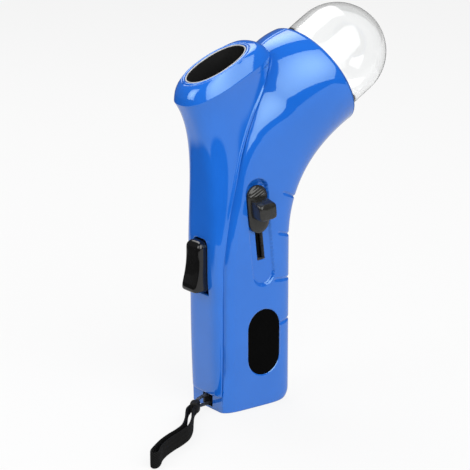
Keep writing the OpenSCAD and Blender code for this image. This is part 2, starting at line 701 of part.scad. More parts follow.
// Clear dome: neck with the seal's groove, straight part and half sphere
seal_d = -3.4;
seal_r = 0.7;
seal_ring = dome_r - 0.65;
neck_r = dome_r - 0.4;
arc_steps = 20;
module dome() {
    outer = concat(
        [[neck_r, -neck_depth], [neck_r, seal_d - seal_r - 0.1],
         [seal_ring - seal_r - 0.05, seal_d - seal_r - 0.1],
         [seal_ring - seal_r - 0.05, seal_d + seal_r + 0.1], [neck_r, seal_d + seal_r + 0.1], [neck_r, 0.4],
         [dome_r, 0.8]],
        [for (k = [0:arc_steps]) let (a = 90 * k / arc_steps)
            [dome_r * cos(a), dome_straight + dome_r * sin(a)]]);
    inner_r = dome_r - dome_wall;
    inner_neck = neck_r - dome_wall + 0.1;
    inner = concat(
        [for (k = [arc_steps:-1:0]) let (a = 90 * k / arc_steps)
            [inner_r * cos(a), dome_straight + inner_r * sin(a)]],
        [[inner_r, 2], [inner_neck, 0.6], [inner_neck, -neck_depth]]);
    color([0.92, 0.95, 0.97, 0.4]) dome_frame() rotate_extrude() polygon(concat(outer, inner));
}
module dome_seal() {
    color(pale) dome_frame() translate([0, 0, seal_d]) rotate_extrude()
        translate([seal_ring, 0]) circle(r = seal_r, $fn = 24);
}

module badge_plate() {
    color(black) translate([0, badge_y, badge_z])
        side_stadium(badge_w, badge_h, badge_x + 0.02, badge_t);
}

module strap_pin() {
    color(steel) across_x(strap_pin_at[0], strap_pin_at[1])
        cylinder(r = strap_pin_r, h = 2 * strap_hole_w - 1, center = true);
}

// Cord loop round the cross pin
function route_tangent(p, i) = unit(p[min(i + 1, len(p) - 1)] - p[max(i - 1, 0)]);
module strap_cord() {
    color(black) loft([for (i = [0:len(loop_route) - 1])
        let (t = route_tangent(loop_route, i), a = unit(cross(t, [1, 0.35, 0])), b = cross(t, a))
        sweep_ring(loop_route[i], b, a, loop_d / 2, loop_d / 2, 8)]);
}

// Sleeve that joins the cord loop and the webbing's two ends
module strap_clamp() {
    color(black) translate([clamp_at[0], clamp_at[1], 0]) rotate([0, 0, -48]) {
        translate([-clamp_w / 2, -clamp_l / 2, 0.3]) cube([clamp_w, clamp_l, webbing_w - 0.2]);
    }
}

// Webbing that stands on its edge in a hairpin
module wrist_strap() {
    flat = [for (p = webbing_route) [p[0], p[1], webbing_z]];
    color(black) loft([for (i = [0:len(flat) - 1])
        let (t = route_tangent(flat, i), a = cross(t, [0, 0, 1]))
        [for (c = [[-1, -1], [1, -1], [1, 1], [-1, 1]])
            flat[i] + a * c[0] * webbing_t / 2 + [0, 0, c[1] * webbing_w / 2]]]);
}

// Screws that close the rear shells, driven from the left side
module shell_screws() {
    color(steel) for (s = screws) translate([0, s[0], s[1]]) rotate([0, -90, 0]) {
        translate([0, 0, -screw_end])
            cylinder(r = screw_r - 0.02, h = screw_end + s[2] - head_t + eps, $fn = 24);
        translate([0, 0, s[2] - head_t]) cylinder(r = head_r, h = head_t, $fn = 24);
    }
}

right_shell();
left_shell();
front_cover();
muzzle_liner();
launch_tube();
piston();
launch_spring();
spring_plug();
cocking_pin();
slider_knob();
trigger();
trigger_pin();
trigger_spring();
hopper_funnel();
dome();
dome_seal();
badge_plate();
strap_pin();
strap_cord();
strap_clamp();
wrist_strap();
shell_screws();
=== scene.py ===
"""Looks of a hand-held treat launcher: glossy blue shells round a spring tube, a clear treat dome,
a black slider, trigger and oval inlay, and a woven wrist strap. Lengths are in millimetres until
a mesh is made, and the frame is the part's own: base on the floor, front towards -Y, dome towards +Y."""

import bmesh
import bpy
import numpy as np
from mathutils import Matrix


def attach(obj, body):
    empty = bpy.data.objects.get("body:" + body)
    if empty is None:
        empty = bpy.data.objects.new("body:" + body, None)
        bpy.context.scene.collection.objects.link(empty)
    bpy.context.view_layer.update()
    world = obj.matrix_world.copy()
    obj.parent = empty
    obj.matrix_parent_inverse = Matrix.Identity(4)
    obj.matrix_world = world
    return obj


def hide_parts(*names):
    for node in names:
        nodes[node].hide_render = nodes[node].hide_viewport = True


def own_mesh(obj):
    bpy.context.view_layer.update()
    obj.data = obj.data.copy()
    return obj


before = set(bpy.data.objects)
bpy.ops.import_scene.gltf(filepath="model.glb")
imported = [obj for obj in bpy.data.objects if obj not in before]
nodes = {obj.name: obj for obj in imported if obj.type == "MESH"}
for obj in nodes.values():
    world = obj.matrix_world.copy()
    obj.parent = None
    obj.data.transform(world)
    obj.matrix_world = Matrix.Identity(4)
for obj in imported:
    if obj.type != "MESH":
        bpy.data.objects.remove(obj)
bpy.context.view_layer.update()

# One millimetre in metres, the weld's reach, a length near nought, one beyond every outline, and the count
# of points on a finely sampled curve
MM, WELD, TINY, FAR, DENSE = 0.001, 0.002, 1e-9, 99.0, 1441
rad = np.radians
X_AXIS, Y_AXIS, Z_AXIS = np.eye(3)
MIRROR = np.array((-1.0, 1.0, 1.0))
QUARTER = rad(np.array((0.0, 30.0, 60.0, 90.0)))

# Handle: front, back, top, half thickness, the power of its section, wall, and half the rear shells' gap
HANDLE_FRONT, HANDLE_BACK, HANDLE_TOP, SIDE = 23.0, 24.9, 88.0, 15.5
SQUARISH, WALL, HALF_GAP = 5.0, 2.0, 0.06
# Base: its rounding at the back with its share in depth, the foot's edge, and the draw-in of the front
BASE_ROUND, BASE_SHARE, FOOT_ROUND = 6.0, 0.8, 0.8
DRAW_IN, DRAW_STEP, DRAW_Z, DRAW_RUN = 1.6, 1.1, 56.0, 14.0
# Elbow and collar: the sections turn round a pivot behind the body
COLLAR_Y, COLLAR_Z, COLLAR_R, DOME_TILT = 46.8, 163.8, 29.0, 31.5
COLLAR = np.array((0.0, COLLAR_Y, COLLAR_Z))
DOME_AXIS = np.array((0.0, np.cos(rad(DOME_TILT)), np.sin(rad(DOME_TILT))))
DOME_DOWN = np.array((0.0, np.sin(rad(DOME_TILT)), -np.cos(rad(DOME_TILT))))
RIM_ARM = (COLLAR_Z - HANDLE_TOP) / np.cos(rad(DOME_TILT))
PIVOT_Y = COLLAR_Y + RIM_ARM * np.sin(rad(DOME_TILT))
FAN = 90.0 - DOME_TILT
RIM_ROUND, RIM_FLAT, SOCKET_R, SOCKET_ROUND, SOCKET_DEPTH = 0.7, 27.0, 25.3, 0.3, 12.0
# Barrel with its lip and slanted muzzle: the sections turn round a pivot ahead of the body
MUZZLE_Y, MUZZLE_Z, MUZZLE_TILT = -13.1, 175.2, 25.8
MUZZLE_L, MUZZLE_W, MUZZLE_N = 33.6, 21.2, 2.2
LIP_DROP, LIP_AHEAD, LIP_L, LIP_W = 7.4, 0.4, 52.6, 31.2
LIP_Y = MUZZLE_Y + LIP_DROP * np.sin(rad(MUZZLE_TILT)) - LIP_AHEAD
LIP_Z = MUZZLE_Z - LIP_DROP * np.cos(rad(MUZZLE_TILT))
BARREL_Y = LIP_Y - (LIP_Z - HANDLE_TOP) / np.tan(rad(MUZZLE_TILT))
LIP_FRONT = LIP_Y - LIP_L / 2 * np.cos(rad(MUZZLE_TILT))
LIP_REAR = LIP_Y + LIP_L / 2 * np.cos(rad(MUZZLE_TILT))
BARREL_NECK, BARREL_N, RIM_BAND = SIDE - 2.5, 2.6, 2.6
# Launch tube: its lean, and the liner that goes on from it to the muzzle
TUBE_Y, LEAN = 3.2, 6.5
TUBE_AT = np.array((0.0, TUBE_Y, HANDLE_TOP))
ALONG_TUBE = np.array((0.0, -np.sin(rad(LEAN)), np.cos(rad(LEAN))))
ACROSS_TUBE = np.array((0.0, np.cos(rad(LEAN)), np.sin(rad(LEAN))))
LINER_R, LINER_T, LINER_LOW, LINER_FOOT, LINER_SINK = 9.35, 0.8, 66.0, 70.0, 0.15

# Seam between the cover and the rear shells as (z, y), smoothed; its gap, the rounds of the edges, the sink
# of the shells' edge at the handle with its reach, the cover's bead, and its reach back below the lip
SEAM_POINTS = np.array((
    (0, -18.6), (76, -18.6), (90, -16.9), (105, -14.4), (117, -11.4), (131.7, -7.8), (143.6, -3.5),
    (153, 0.7), (161.3, 5.5), (169.3, 9.2), (174.4, LIP_REAR - 2.0), (178.0, LIP_REAR + 0.2),
    (182, LIP_REAR + 0.4), (240, LIP_REAR + 0.4),
))
SEAM_STEP, SEAM_SOFT, SEAM_GAP = 0.25, 2.4, 0.1
EDGE_ROUND, ELBOW_ROUND, COVER_EDGE, COVER_SOFT, BACK_FOLD = 0.4, 0.5, 0.35, 0.2, 1.2
EDGE_SINK, EDGE_BAND, SINK_SPAN = 1.5, 5.5, (9.5, 15.0, 105.0, 38.0)
BEAD_RISE, BEAD_W, BEAD_SPAN = 0.75, 0.75, (95.0, 25.0, 160.0, 10.0)
COVER_REACH, REACH_Z, REACH_RUN = 0.9, 171.0, 5.0
# Foot of the cover, the closed front below it, and the strap's opening with its tunnel
COVER_FOOT, COVER_ROUND, COVER_LIP, FRONT_TOP = 8.0, 1.2, 1.8, 9.2
HOLE_LOW, HOLE_HIGH, HOLE_COLS, TUNNEL_Y = 1.2, 8.0, 3, (-18.5, -17.0, -15.3)
POCKET_END = -8.6
# Grip grooves as (height, start, slope), and their depth, half width, easing and run round the corner
GROOVES = ((110.2, 16.0, -0.42), (89.8, 13.5, -0.28), (65.6, 11.0, -0.1), (41.8, 14.5, 0.14))
GROOVE_DEPTH, GROOVE_HALF, GROOVE_EASE, GROOVE_RUN = 0.75, 0.62, 2.5, 11.0
# Screws of the left side as (y, z, seat), with their holes. Nothing is pressed in where x is below SIDE_FROM
SCREWS = (
    (18.4, 10.0, 12.0), (18.4, 44.0, 12.0), (19.4, 98.0, 12.5), (35.0, 129.0, 13.0), (-11.0, 24.0, 12.0),
)
SCREW_HOLE, SCREW_HEAD, SIDE_FROM = 4.9, 1.8, 8.0

# Slider: recess with its dished wall and scooped top, slot, plate with thumb ridges, block and stem
RECESS_W, RECESS_LOW, RECESS_HIGH, RECESS_X = 13.6, -24.55, 31.55, 13.9
DISH_W, SCOOP = 1.0, 0.6
SLOT_W, SLOT_LOW, SLOT_HIGH, SLOT_ROUND = 4.6, -11.1, 18.5, 0.3
PIN_S, PLATE_W, PLATE_L, PLATE_X, PLATE_T = 15.7, 12.0, 24.5, 14.2, 2.4
PLATE_CROWN, RIDGE_H, RIDGE_STEP, RIDGE_SLANT, RIDGE_FROM = 0.9, 0.38, 1.5, 0.35, 6.6
BLOCK_W, BLOCK_L, BLOCK_FOOT, BLOCK_END, BLOCK_RAMP = 10.0, 8.0, 15.4, 24.5, 2.6
BLOCK_N, BLOCK_ROUND, BLOCK_DISH, BLOCK_DISH_W = 5.5, 1.2, 0.25, 3.4
STEM_W, STEM_L, STEM_LOW, STEM_HIGH = 4.0, 5.0, 10.2, 15.0
# Oval inlay and the play of its pocket
BADGE_Y, BADGE_Z, BADGE_W, BADGE_H, BADGE_X, BADGE_T = 5.4, 34.0, 20.0, 34.6, 14.4, 0.8
BADGE_PLAY, BADGE_LIFT = 0.2, 0.02
# Trigger: blade, its hub and catch nose, and the window in the cover
TRIGGER_W, TRIGGER_LOW, TRIGGER_TOP, TRIGGER_BACK = 12.0, 63.2, 88.8, -18.4
TRIGGER_ROUND, TRIGGER_FOOT, TRIGGER_N = 3.6, 0.9, 6.0
PROUD_LOW, PROUD_TOP, FINGER_DISH, TOP_LEAN = 8.8, 5.2, 1.6, 1.4
TRIGGER_PIN_Y, TRIGGER_PIN_Z, HUB_W, ARM_W, NOSE_Z, NOSE_HALF = -15.0, 79.888, 7.2, 4.6, 94.45, 1.4
WINDOW_BELOW, WINDOW_GAP, WINDOW_TOP_R, WINDOW_FOOT_R = 2.2, 0.8, 4.0, 0.6
WINDOW_Y, WINDOW_Z = -19.0, 96.0

# Launch spring along the tube: radius, half wire, turns, ends, seat, and its share of length when drawn back
SPRING_R, SPRING_WIRE, SPRING_TURNS = 4.9, 0.6, 9
SPRING_ENDS, SPRING_SEAT, SPRING_KEEP = (-32.35, 11.35), -33.0, 21.0 / 45.0

# Strap: the cord's thickness, the webbing's width and how its ends are gathered, the sleeve between the two,
# and the routes of both, as in the solids
LOOP_D, LOOP_TWIST, WEBBING_W, WEBBING_LIFT = 1.8, 1.5, 8.0, 0.2
GATHER, GATHER_L = 0.42, 15.0
SLEEVE_AT, SLEEVE_TURN, SLEEVE_W, SLEEVE_L, SLEEVE_LOW, SLEEVE_ROUND = (5.0, -30.0), -48.0, 6.0, 4.6, 1.4, 0.9
LOOP_ROUTE = (
    (2.6, -27.2, 6.2), (1.6, -24.4, 6.7), (0.6, -20.5, 7.0), (0.1, -17.0, 7.1), (0.0, -14.0, 7.1),
    (0.0, -11.9, 6.3), (0.0, -11.1, 4.6), (0.0, -11.9, 2.9), (0.0, -14.0, 2.1), (0.1, -17.0, 2.1),
    (0.6, -20.5, 2.2), (1.6, -24.4, 2.5), (2.6, -27.2, 3.0),
)
WEBBING_ROUTE = (
    (6.1, -33.8), (9.6, -37.9), (15.6, -42.7), (22.9, -48.3), (29.3, -54.5), (33.0, -60.8), (35.8, -67.2),
    (39.3, -73.8), (43.3, -79.6), (46.7, -84.0), (49.2, -86.1), (51.3, -86.5), (51.9, -84.6), (50.0, -81.9),
    (45.8, -77.8), (41.9, -72.2), (38.6, -65.8), (35.8, -59.4), (31.7, -52.5), (25.0, -45.9), (17.5, -40.3),
    (11.5, -35.5), (8.4, -31.6),
)


def mix(a, b, t):
    """Straight blend from a to b."""
    return a + (b - a) * t


def smooth(t):
    """Eased step from 0 to 1: three t squared less two t cubed, held outside that span."""
    t = np.clip(t, 0.0, 1.0)
    return t * t * (3.0 - 2.0 * t)


def window(x, start, rise, end, fall):
    """Eased window: up from 0 to 1 over rise after start, and down again over fall after end."""
    return smooth((x - start) / rise) * (1.0 - smooth((x - end) / fall))


def steps(*spans):
    """Parameter values through spans of (start, end, step), each end shared with the next start."""
    parts = [np.linspace(a, b, max(2, int(round(abs(b - a) / d)) + 1))[:-1] for a, b, d in spans]
    return np.concatenate(parts + [np.array([spans[-1][1]])])


def unit(v):
    """Vectors of length one along the last axis."""
    return v / np.maximum(np.linalg.norm(v, axis=-1, keepdims=True), TINY)


def run_length(points):
    """Distance of each point from the first one of its row, along that row."""
    step = np.linalg.norm(np.diff(points, axis=-2), axis=-1)
    return np.concatenate([0 * step[..., :1], np.cumsum(step, axis=-1)], axis=-1)


def circle(count):
    """Angles of a closed ring of count columns."""
    return np.linspace(0.0, 2 * np.pi, count, endpoint=False)


# Mesh making


def patch(points, closed=False, keep=None, uv=None, slot=0, outward=1):
    """One grid of points (rows, columns, 3) with how it is turned into faces."""
    return {"points": points, "closed": closed, "keep": keep, "uv": uv, "slot": slot, "outward": outward}


def grid_faces(item, base):
    """Quads between neighbours of the grid, turned so that their normals point away from its middle."""
    points = item["points"]
    rows, cols = points.shape[:2]
    index = base + np.arange(rows * cols).reshape(rows, cols)
    if item["closed"]:
        index = np.concatenate([index, index[:, :1]], axis=1)
    quads = np.stack([index[:-1, :-1], index[:-1, 1:], index[1:, 1:], index[1:, :-1]], axis=-1)
    corner = points.reshape(-1, 3)[quads - base]
    normal = np.cross(corner[..., 2, :] - corner[..., 0, :], corner[..., 3, :] - corner[..., 1, :])
    away = corner.mean(axis=-2) - points.reshape(-1, 3).mean(axis=0)
    if np.sum(normal * away) * item["outward"] < 0:
        quads = quads[..., ::-1]
    keep = np.ones(quads.shape[:2], bool) if item["keep"] is None else item["keep"]
    return quads[keep], np.broadcast_to(item["slot"], keep.shape)[keep].astype(np.int32)


def corner_flags(flags):
    """A grid's flags at the four corners of each of its faces."""
    return np.stack([flags[:-1, :-1], flags[1:, :-1], flags[:-1, 1:], flags[1:, 1:]])


def make_piece(name, patches, materials, body):
    """One smooth mesh object from grids, in metres, with doubled points welded and its finish set."""
    faces = []
    slots = []
    base = 0
    for item in patches:
        quads, slot_numbers = grid_faces(item, base)
        faces.append(quads)
        slots.append(slot_numbers)
        base += item["points"].shape[0] * item["points"].shape[1]
    points = np.concatenate([item["points"].reshape(-1, 3) for item in patches])
    faces = np.concatenate(faces)
    mesh = bpy.data.meshes.new(name)
    mesh.from_pydata((points * MM).tolist(), [], faces.tolist())
    mesh.polygons.foreach_set("material_index", np.concatenate(slots))
    if patches[0]["uv"] is not None:
        flat = np.concatenate([item["uv"].reshape(-1, 2) for item in patches])
        layer = mesh.uv_layers.new(name="length_width")
        layer.data.foreach_set("uv", flat[faces.reshape(-1)].reshape(-1).astype(np.float32))
    work = bmesh.new()
    work.from_mesh(mesh)
    bmesh.ops.remove_doubles(work, verts=work.verts, dist=WELD * MM)
    loose = [v for v in work.verts if not v.link_faces]
    bmesh.ops.delete(work, geom=loose, context="VERTS")
    work.to_mesh(mesh)
    work.free()
    mesh.shade_smooth()
    piece = bpy.data.objects.new(name, mesh)
    bpy.context.scene.collection.objects.link(piece)
    for material in materials:
        mesh.materials.append(material)
    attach(piece, body)
    return piece


# Sections of the body


def oval(angle, half, depth, n_front, n_back):
    """Point of a superellipse at a polar angle: half wide, depth deep, with its own power front and back."""
    c, s = np.cos(angle), np.sin(angle)
    n = np.where(s >= 0, n_back, n_front)
    r = (np.abs(c / half) ** n + np.abs(s / depth) ** n) ** (-1.0 / n)
    return r * c, r * s


def base_inset(z):
    """Rounding at the back of the base: a quarter circle, drawn in by a share of its height."""
    t = np.clip(1.0 - z / BASE_ROUND, 0.0, 1.0)
    return BASE_ROUND * (1.0 - np.sqrt(1.0 - t * t)) * BASE_SHARE


def front_inset(z):
    """Draw-in of the handle's front: an eased step below the trigger, and a curve towards the base."""
    curve = DRAW_IN * np.clip(1.0 - z / DRAW_Z, 0.0, 1.0) ** 2
    return curve + DRAW_STEP * (1.0 - smooth((z - DRAW_Z) / DRAW_RUN))


def handle_rows(z, pivot, turn):
    """Handle sections at heights z, measured from a far pivot; turn is -1 for the elbow, 1 for the barrel."""
    front = -HANDLE_FRONT + front_inset(z)
    back = HANDLE_BACK - base_inset(z)
    mid = turn * ((front + back) / 2 - pivot)
    one = np.ones_like(z)
    return {
        "mid": mid, "depth": (back - front) / 2, "half": SIDE * one, "n_front": SQUARISH * one,
        "n_back": SQUARISH * one, "fan": 0.0 * z, "z": z,
    }


def elbow_rows(u):
    """Elbow sections: they fan out round a pivot behind the body, from the handle's top to the rim. Both
    sides are straight blends with a sine wave added, and the powers fall from squarish to round."""
    hollow, wave, crisp, pointed, blunt, round_n = 0.6, 5.0, 1.2, 1.75, 0.25, 2.0
    inner = mix(PIVOT_Y - HANDLE_BACK, RIM_ARM - COLLAR_R, u) + hollow * np.sin(np.pi * u)
    outer = mix(PIVOT_Y + HANDLE_FRONT, RIM_ARM + COLLAR_R, u) - wave * np.sin(2 * np.pi * u**1.25)
    n_front = SQUARISH + crisp * np.sin(np.pi * np.clip(2 * u, 0, 1))
    n_front = mix(n_front, pointed, smooth((u - 0.31) / 0.4)) + blunt * smooth((u - 0.75) / 0.25)
    return {
        "mid": (inner + outer) / 2, "depth": (outer - inner) / 2, "half": mix(SIDE, COLLAR_R, smooth(u**1.7)),
        "n_front": n_front, "n_back": mix(round_n, SQUARISH, (1.0 - u) ** 1.2), "fan": rad(FAN) * u,
        "z": np.full_like(u, HANDLE_TOP),
    }


def barrel_rows(v):
    """Barrel sections: they fan out round a pivot far ahead of the body, up to the lip of the muzzle. Front,
    rear and width are blends by powers of the way up, so that the lip flares late."""
    fan = rad(MUZZLE_TILT) * v
    front = (mix(-HANDLE_FRONT, LIP_FRONT, v**4) - BARREL_Y) / np.cos(fan)
    rear = (mix(HANDLE_BACK, LIP_REAR, 1.0 - (1.0 - v) ** 1.5) - BARREL_Y) / np.cos(fan)
    n = mix(BARREL_N, SQUARISH, (1.0 - v) ** 1.2)
    return {
        "mid": (front + rear) / 2, "depth": (rear - front) / 2,
        "half": mix(SIDE, BARREL_NECK, smooth(v)) + (LIP_W / 2 - BARREL_NECK) * v**9,
        "n_front": n, "n_back": n + 1.2 * v**3, "fan": fan, "z": np.full_like(v, HANDLE_TOP),
    }


def stack(*groups):
    """Row tables one after the other."""
    return {key: np.concatenate([g[key] for g in groups]) for key in groups[0]}


def section(rows):
    """Half width, half depth and the two powers of each section, as columns."""
    return tuple(rows[key][:, None] for key in ("half", "depth", "n_front", "n_back"))


def place(rows, x, q, pivot, turn):
    """Section points into space: q runs to the back, along a ray from the pivot turned by the fan."""
    r = rows["mid"][:, None] + turn * q
    fan = rows["fan"][:, None]
    return np.stack([x, pivot + turn * r * np.cos(fan), rows["z"][:, None] + r * np.sin(fan)], axis=-1)


seam_z = np.arange(-40.0, 240.0, SEAM_STEP)
seam_window = np.exp(-0.5 * (np.arange(-40, 41) * SEAM_STEP / SEAM_SOFT) ** 2)
seam_y = np.convolve(np.interp(seam_z, *SEAM_POINTS.T), seam_window / seam_window.sum(), mode="same")


def past_seam(points):
    """How far points lie behind the seam between the front cover and the rear shells."""
    return points[..., 1] - np.interp(points[..., 2], seam_z, seam_y)


def half_rings(rows, pivot, turn, cols, cut, behind, lead, tail=0.0):
    """Right half of each section, cut at the seam, with columns spaced evenly along its length. Returns the
    points, the edge, unit vectors at the edge along the surface and inwards, and the edge's round."""
    nudge, middle_band = 1e-3, 5.0
    angle = np.linspace(-np.pi / 2, np.pi / 2, DENSE)
    shape = section(rows)
    dense = place(rows, *oval(angle[None, :], *shape), pivot, turn)
    length = run_length(dense)
    gap = past_seam(dense) - cut
    gap = gap if behind else gap - COVER_REACH * smooth((dense[..., 2] - REACH_Z) / REACH_RUN)
    first = np.argmax(gap > 0, axis=1)
    whole = ~(gap > 0).any(axis=1)
    row = np.arange(len(first))
    before = np.maximum(first - 1, 0)
    share = np.clip(-gap[row, before] / np.maximum(gap[row, first] - gap[row, before], TINY), 0, 1)
    start = mix(length[row, before], length[row, first], share)
    start = np.where(whole, length[:, -1], start)
    way = 1.0 if behind else -1.0
    span = length[:, -1] - start - tail if behind else start
    lead = np.where(whole, 0.0, np.minimum(lead, span / 3))
    target = start[:, None] + way * (lead[:, None] + (span - lead)[:, None] * cols)
    theta = np.stack([np.interp(t, s, angle) for t, s in zip(target, length)])
    points = place(rows, *oval(theta, *shape), pivot, turn)
    theta = np.stack([np.interp(t, s, angle) for t, s in zip(start, length)])[:, None]
    edge = place(rows, *oval(theta, *shape), pivot, turn)[:, 0]
    tangent = unit(place(rows, *oval(theta + way * nudge, *shape), pivot, turn)[:, 0] - edge)
    across = np.stack([0 * start, turn * np.cos(rows["fan"]), np.sin(rows["fan"])], axis=-1)
    along = np.sum(tangent * across, axis=-1)[:, None]
    inward = unit(along * X_AXIS - tangent[:, :1] * across)
    middle = place(rows, 0 * theta, 0 * theta, pivot, turn)[:, 0]
    inward = inward * np.sign(np.sum(inward * (middle - edge), axis=-1) + TINY)[:, None]
    inward = unit(mix(inward, -X_AXIS, smooth(edge[:, :1] / middle_band)))
    return points, edge, tangent, inward, lead


def folded_edge(edge, tangent, inward, round_r, depth, shares):
    """Columns of a shell's rim, from inside out: a flat lip as deep as depth, then a quarter round."""
    r = np.broadcast_to(round_r, edge.shape[:1])[:, None]
    reach = np.broadcast_to(depth, edge.shape[:1])[:, None] - r
    lip = [edge + inward * (r + np.maximum(reach, 0) * share) for share in shares]
    turns = rad(np.array([0.0, 22.0, 45.0, 68.0]))
    arc = [edge + tangent * r * (1 - np.cos(a)) + inward * r * (1 - np.sin(a)) for a in turns]
    return np.stack(lip + arc, axis=1)


def surface_normals(points):
    """Unit normals of a grid from the cross product of its two directions, pointing away from the middle."""
    n = unit(np.cross(np.gradient(points, axis=0), np.gradient(points, axis=1)))
    return n * np.sign(np.sum(n * (points - points.reshape(-1, 3).mean(axis=0))))


# Features that are pressed into the surfaces


def stadium(a, b, w, h):
    """Signed distance to an upright stadium w wide and h high, and the direction that leads out of it."""
    over = np.sign(b) * np.maximum(np.abs(b) - (h - w) / 2, 0.0)
    reach = np.maximum(np.hypot(a, over), TINY)
    return reach - w / 2, a / reach, over / reach


def rounded_box(a, b, w, h, r):
    """Signed distance to an upright box with corner radius r, and the direction that leads out of it."""
    da, db = np.abs(a) - w / 2 + r, np.abs(b) - h / 2 + r
    outside = np.maximum(np.hypot(np.maximum(da, 0), np.maximum(db, 0)), TINY)
    d = np.where((da > 0) | (db > 0), outside, np.maximum(da, db)) - r
    corner = (da > 0) & (db > 0)
    ga = np.where(corner, da / outside, (da >= db) * 1.0)
    gb = np.where(corner, db / outside, (db > da) * 1.0)
    return d, ga * np.sign(a), gb * np.sign(b)


def to_tube(points, low=0.0, high=0.0):
    """Coordinates across and along the leaning launch tube, from the middle between low and high on it."""
    away = points - TUBE_AT
    return away @ ACROSS_TUBE, away @ ALONG_TUBE - (low + high) / 2


def from_tube(x, across, along):
    """Points of the leaning tube's frame in space."""
    x, across, along = np.broadcast_arrays(x, across, along)
    return TUBE_AT + x[..., None] * X_AXIS + across[..., None] * ACROSS_TUBE + along[..., None] * ALONG_TUBE


def snap(points, first, second, shape, reach=0.26):
    """Moves grid points close to an outline onto it, for a crisp edge. Returns their distances to it."""
    d, ga, gb = shape
    near = np.abs(d) < reach
    step = np.where(near, d, 0.0)
    points -= (step * ga)[..., None] * first + (step * gb)[..., None] * second
    return np.where(near, 0.0, d)


def grip_grooves(points):
    """Depth of the grip grooves: narrow bell-shaped valleys that start on the side and go round the back."""
    y, z = points[..., 1], points[..., 2]
    depth = np.zeros_like(y)
    for height, start, slope in GROOVES:
        line = height + slope * np.clip(y - start, 0.0, GROOVE_RUN)
        bell = np.exp(-(((z - line) / GROOVE_HALF) ** 2))
        depth = depth + GROOVE_DEPTH * smooth((y - start) / GROOVE_EASE) * bell
    return depth


def press_right(points):
    """Presses the slider's recess, its slot and the inlay's pocket into the right shell: points near an
    outline are snapped onto it, and those inside go down to its floor. Returns which lie in the slot."""
    outline = stadium(*to_tube(points, RECESS_LOW, RECESS_HIGH), RECESS_W, RECESS_HIGH - RECESS_LOW)
    d = snap(points, ACROSS_TUBE, ALONG_TUBE, outline)
    plate_top = PIN_S + PLATE_L / 2
    climb = (to_tube(points)[1] - plate_top) / (RECESS_HIGH - plate_top)
    sunk = SCOOP * smooth(1.0 + climb)
    scoop = RECESS_X - sunk + (SIDE - RECESS_X + SCOOP) * np.clip(climb, 0.0, 1.0)
    dish = RECESS_X + (SIDE - RECESS_X) * np.clip(1.0 + d / DISH_W, 0.0, 1.0) ** 3
    dish = np.where(climb > -1.0, np.maximum(scoop, dish - sunk), dish)
    points[..., 0] = np.where(d < 0, np.minimum(points[..., 0], dish), points[..., 0])
    outline = rounded_box(*to_tube(points, SLOT_LOW, SLOT_HIGH), SLOT_W, SLOT_HIGH - SLOT_LOW, SLOT_ROUND)
    d = snap(points, ACROSS_TUBE, ALONG_TUBE, outline)
    in_slot = (d < 0) & (points[..., 0] >= SIDE_FROM)
    points[..., 0] -= np.where(in_slot, WALL, 0.0)
    y, z = points[..., 1] - BADGE_Y, points[..., 2] - BADGE_Z
    d = snap(points, Y_AXIS, Z_AXIS, stadium(y, z, BADGE_W + BADGE_PLAY, BADGE_H + BADGE_PLAY))
    points[..., 0] = np.where(d < 0, BADGE_X, points[..., 0])
    return in_slot


def press_left(points):
    """Presses the screws' round holes into the left shell, down to their heads. It has no slot."""
    for y, z, seat in SCREWS:
        d, ga, gb = stadium(points[..., 1] - y, points[..., 2] - z, SCREW_HOLE, SCREW_HOLE)
        d = snap(points, Y_AXIS, Z_AXIS, (np.where(points[..., 0] < SIDE_FROM, FAR, d), ga, gb))
        points[..., 0] = np.where(d < 0, seat - SCREW_HEAD, points[..., 0])
    return np.zeros(points.shape[:2], bool)


def round_dome(radius, out, angle):
    """Profile of (radius, distance out) turned round the collar's axis, at the angles of its columns."""
    ring = (radius[:, None] * np.cos(angle))[..., None] * X_AXIS
    ring = ring + (radius[:, None] * np.sin(angle))[..., None] * DOME_DOWN
    return COLLAR + out[:, None, None] * DOME_AXIS + ring


def strap_tunnel(hole_x):
    """Right half of the strap's tunnel: the opening's outline carried back to a closed end wall."""
    loop = np.array(((HALF_GAP, HOLE_HIGH), (hole_x, HOLE_HIGH), (hole_x, HOLE_LOW), (HALF_GAP, HOLE_LOW)))
    depth = np.array((*TUNNEL_Y, POCKET_END, POCKET_END))
    tunnel = np.stack(np.broadcast_arrays(loop[None, :, 0], depth[:, None], loop[None, :, 1]), axis=-1)
    tunnel[-1] = (HALF_GAP, POCKET_END, (HOLE_LOW + HOLE_HIGH) / 2)
    return tunnel


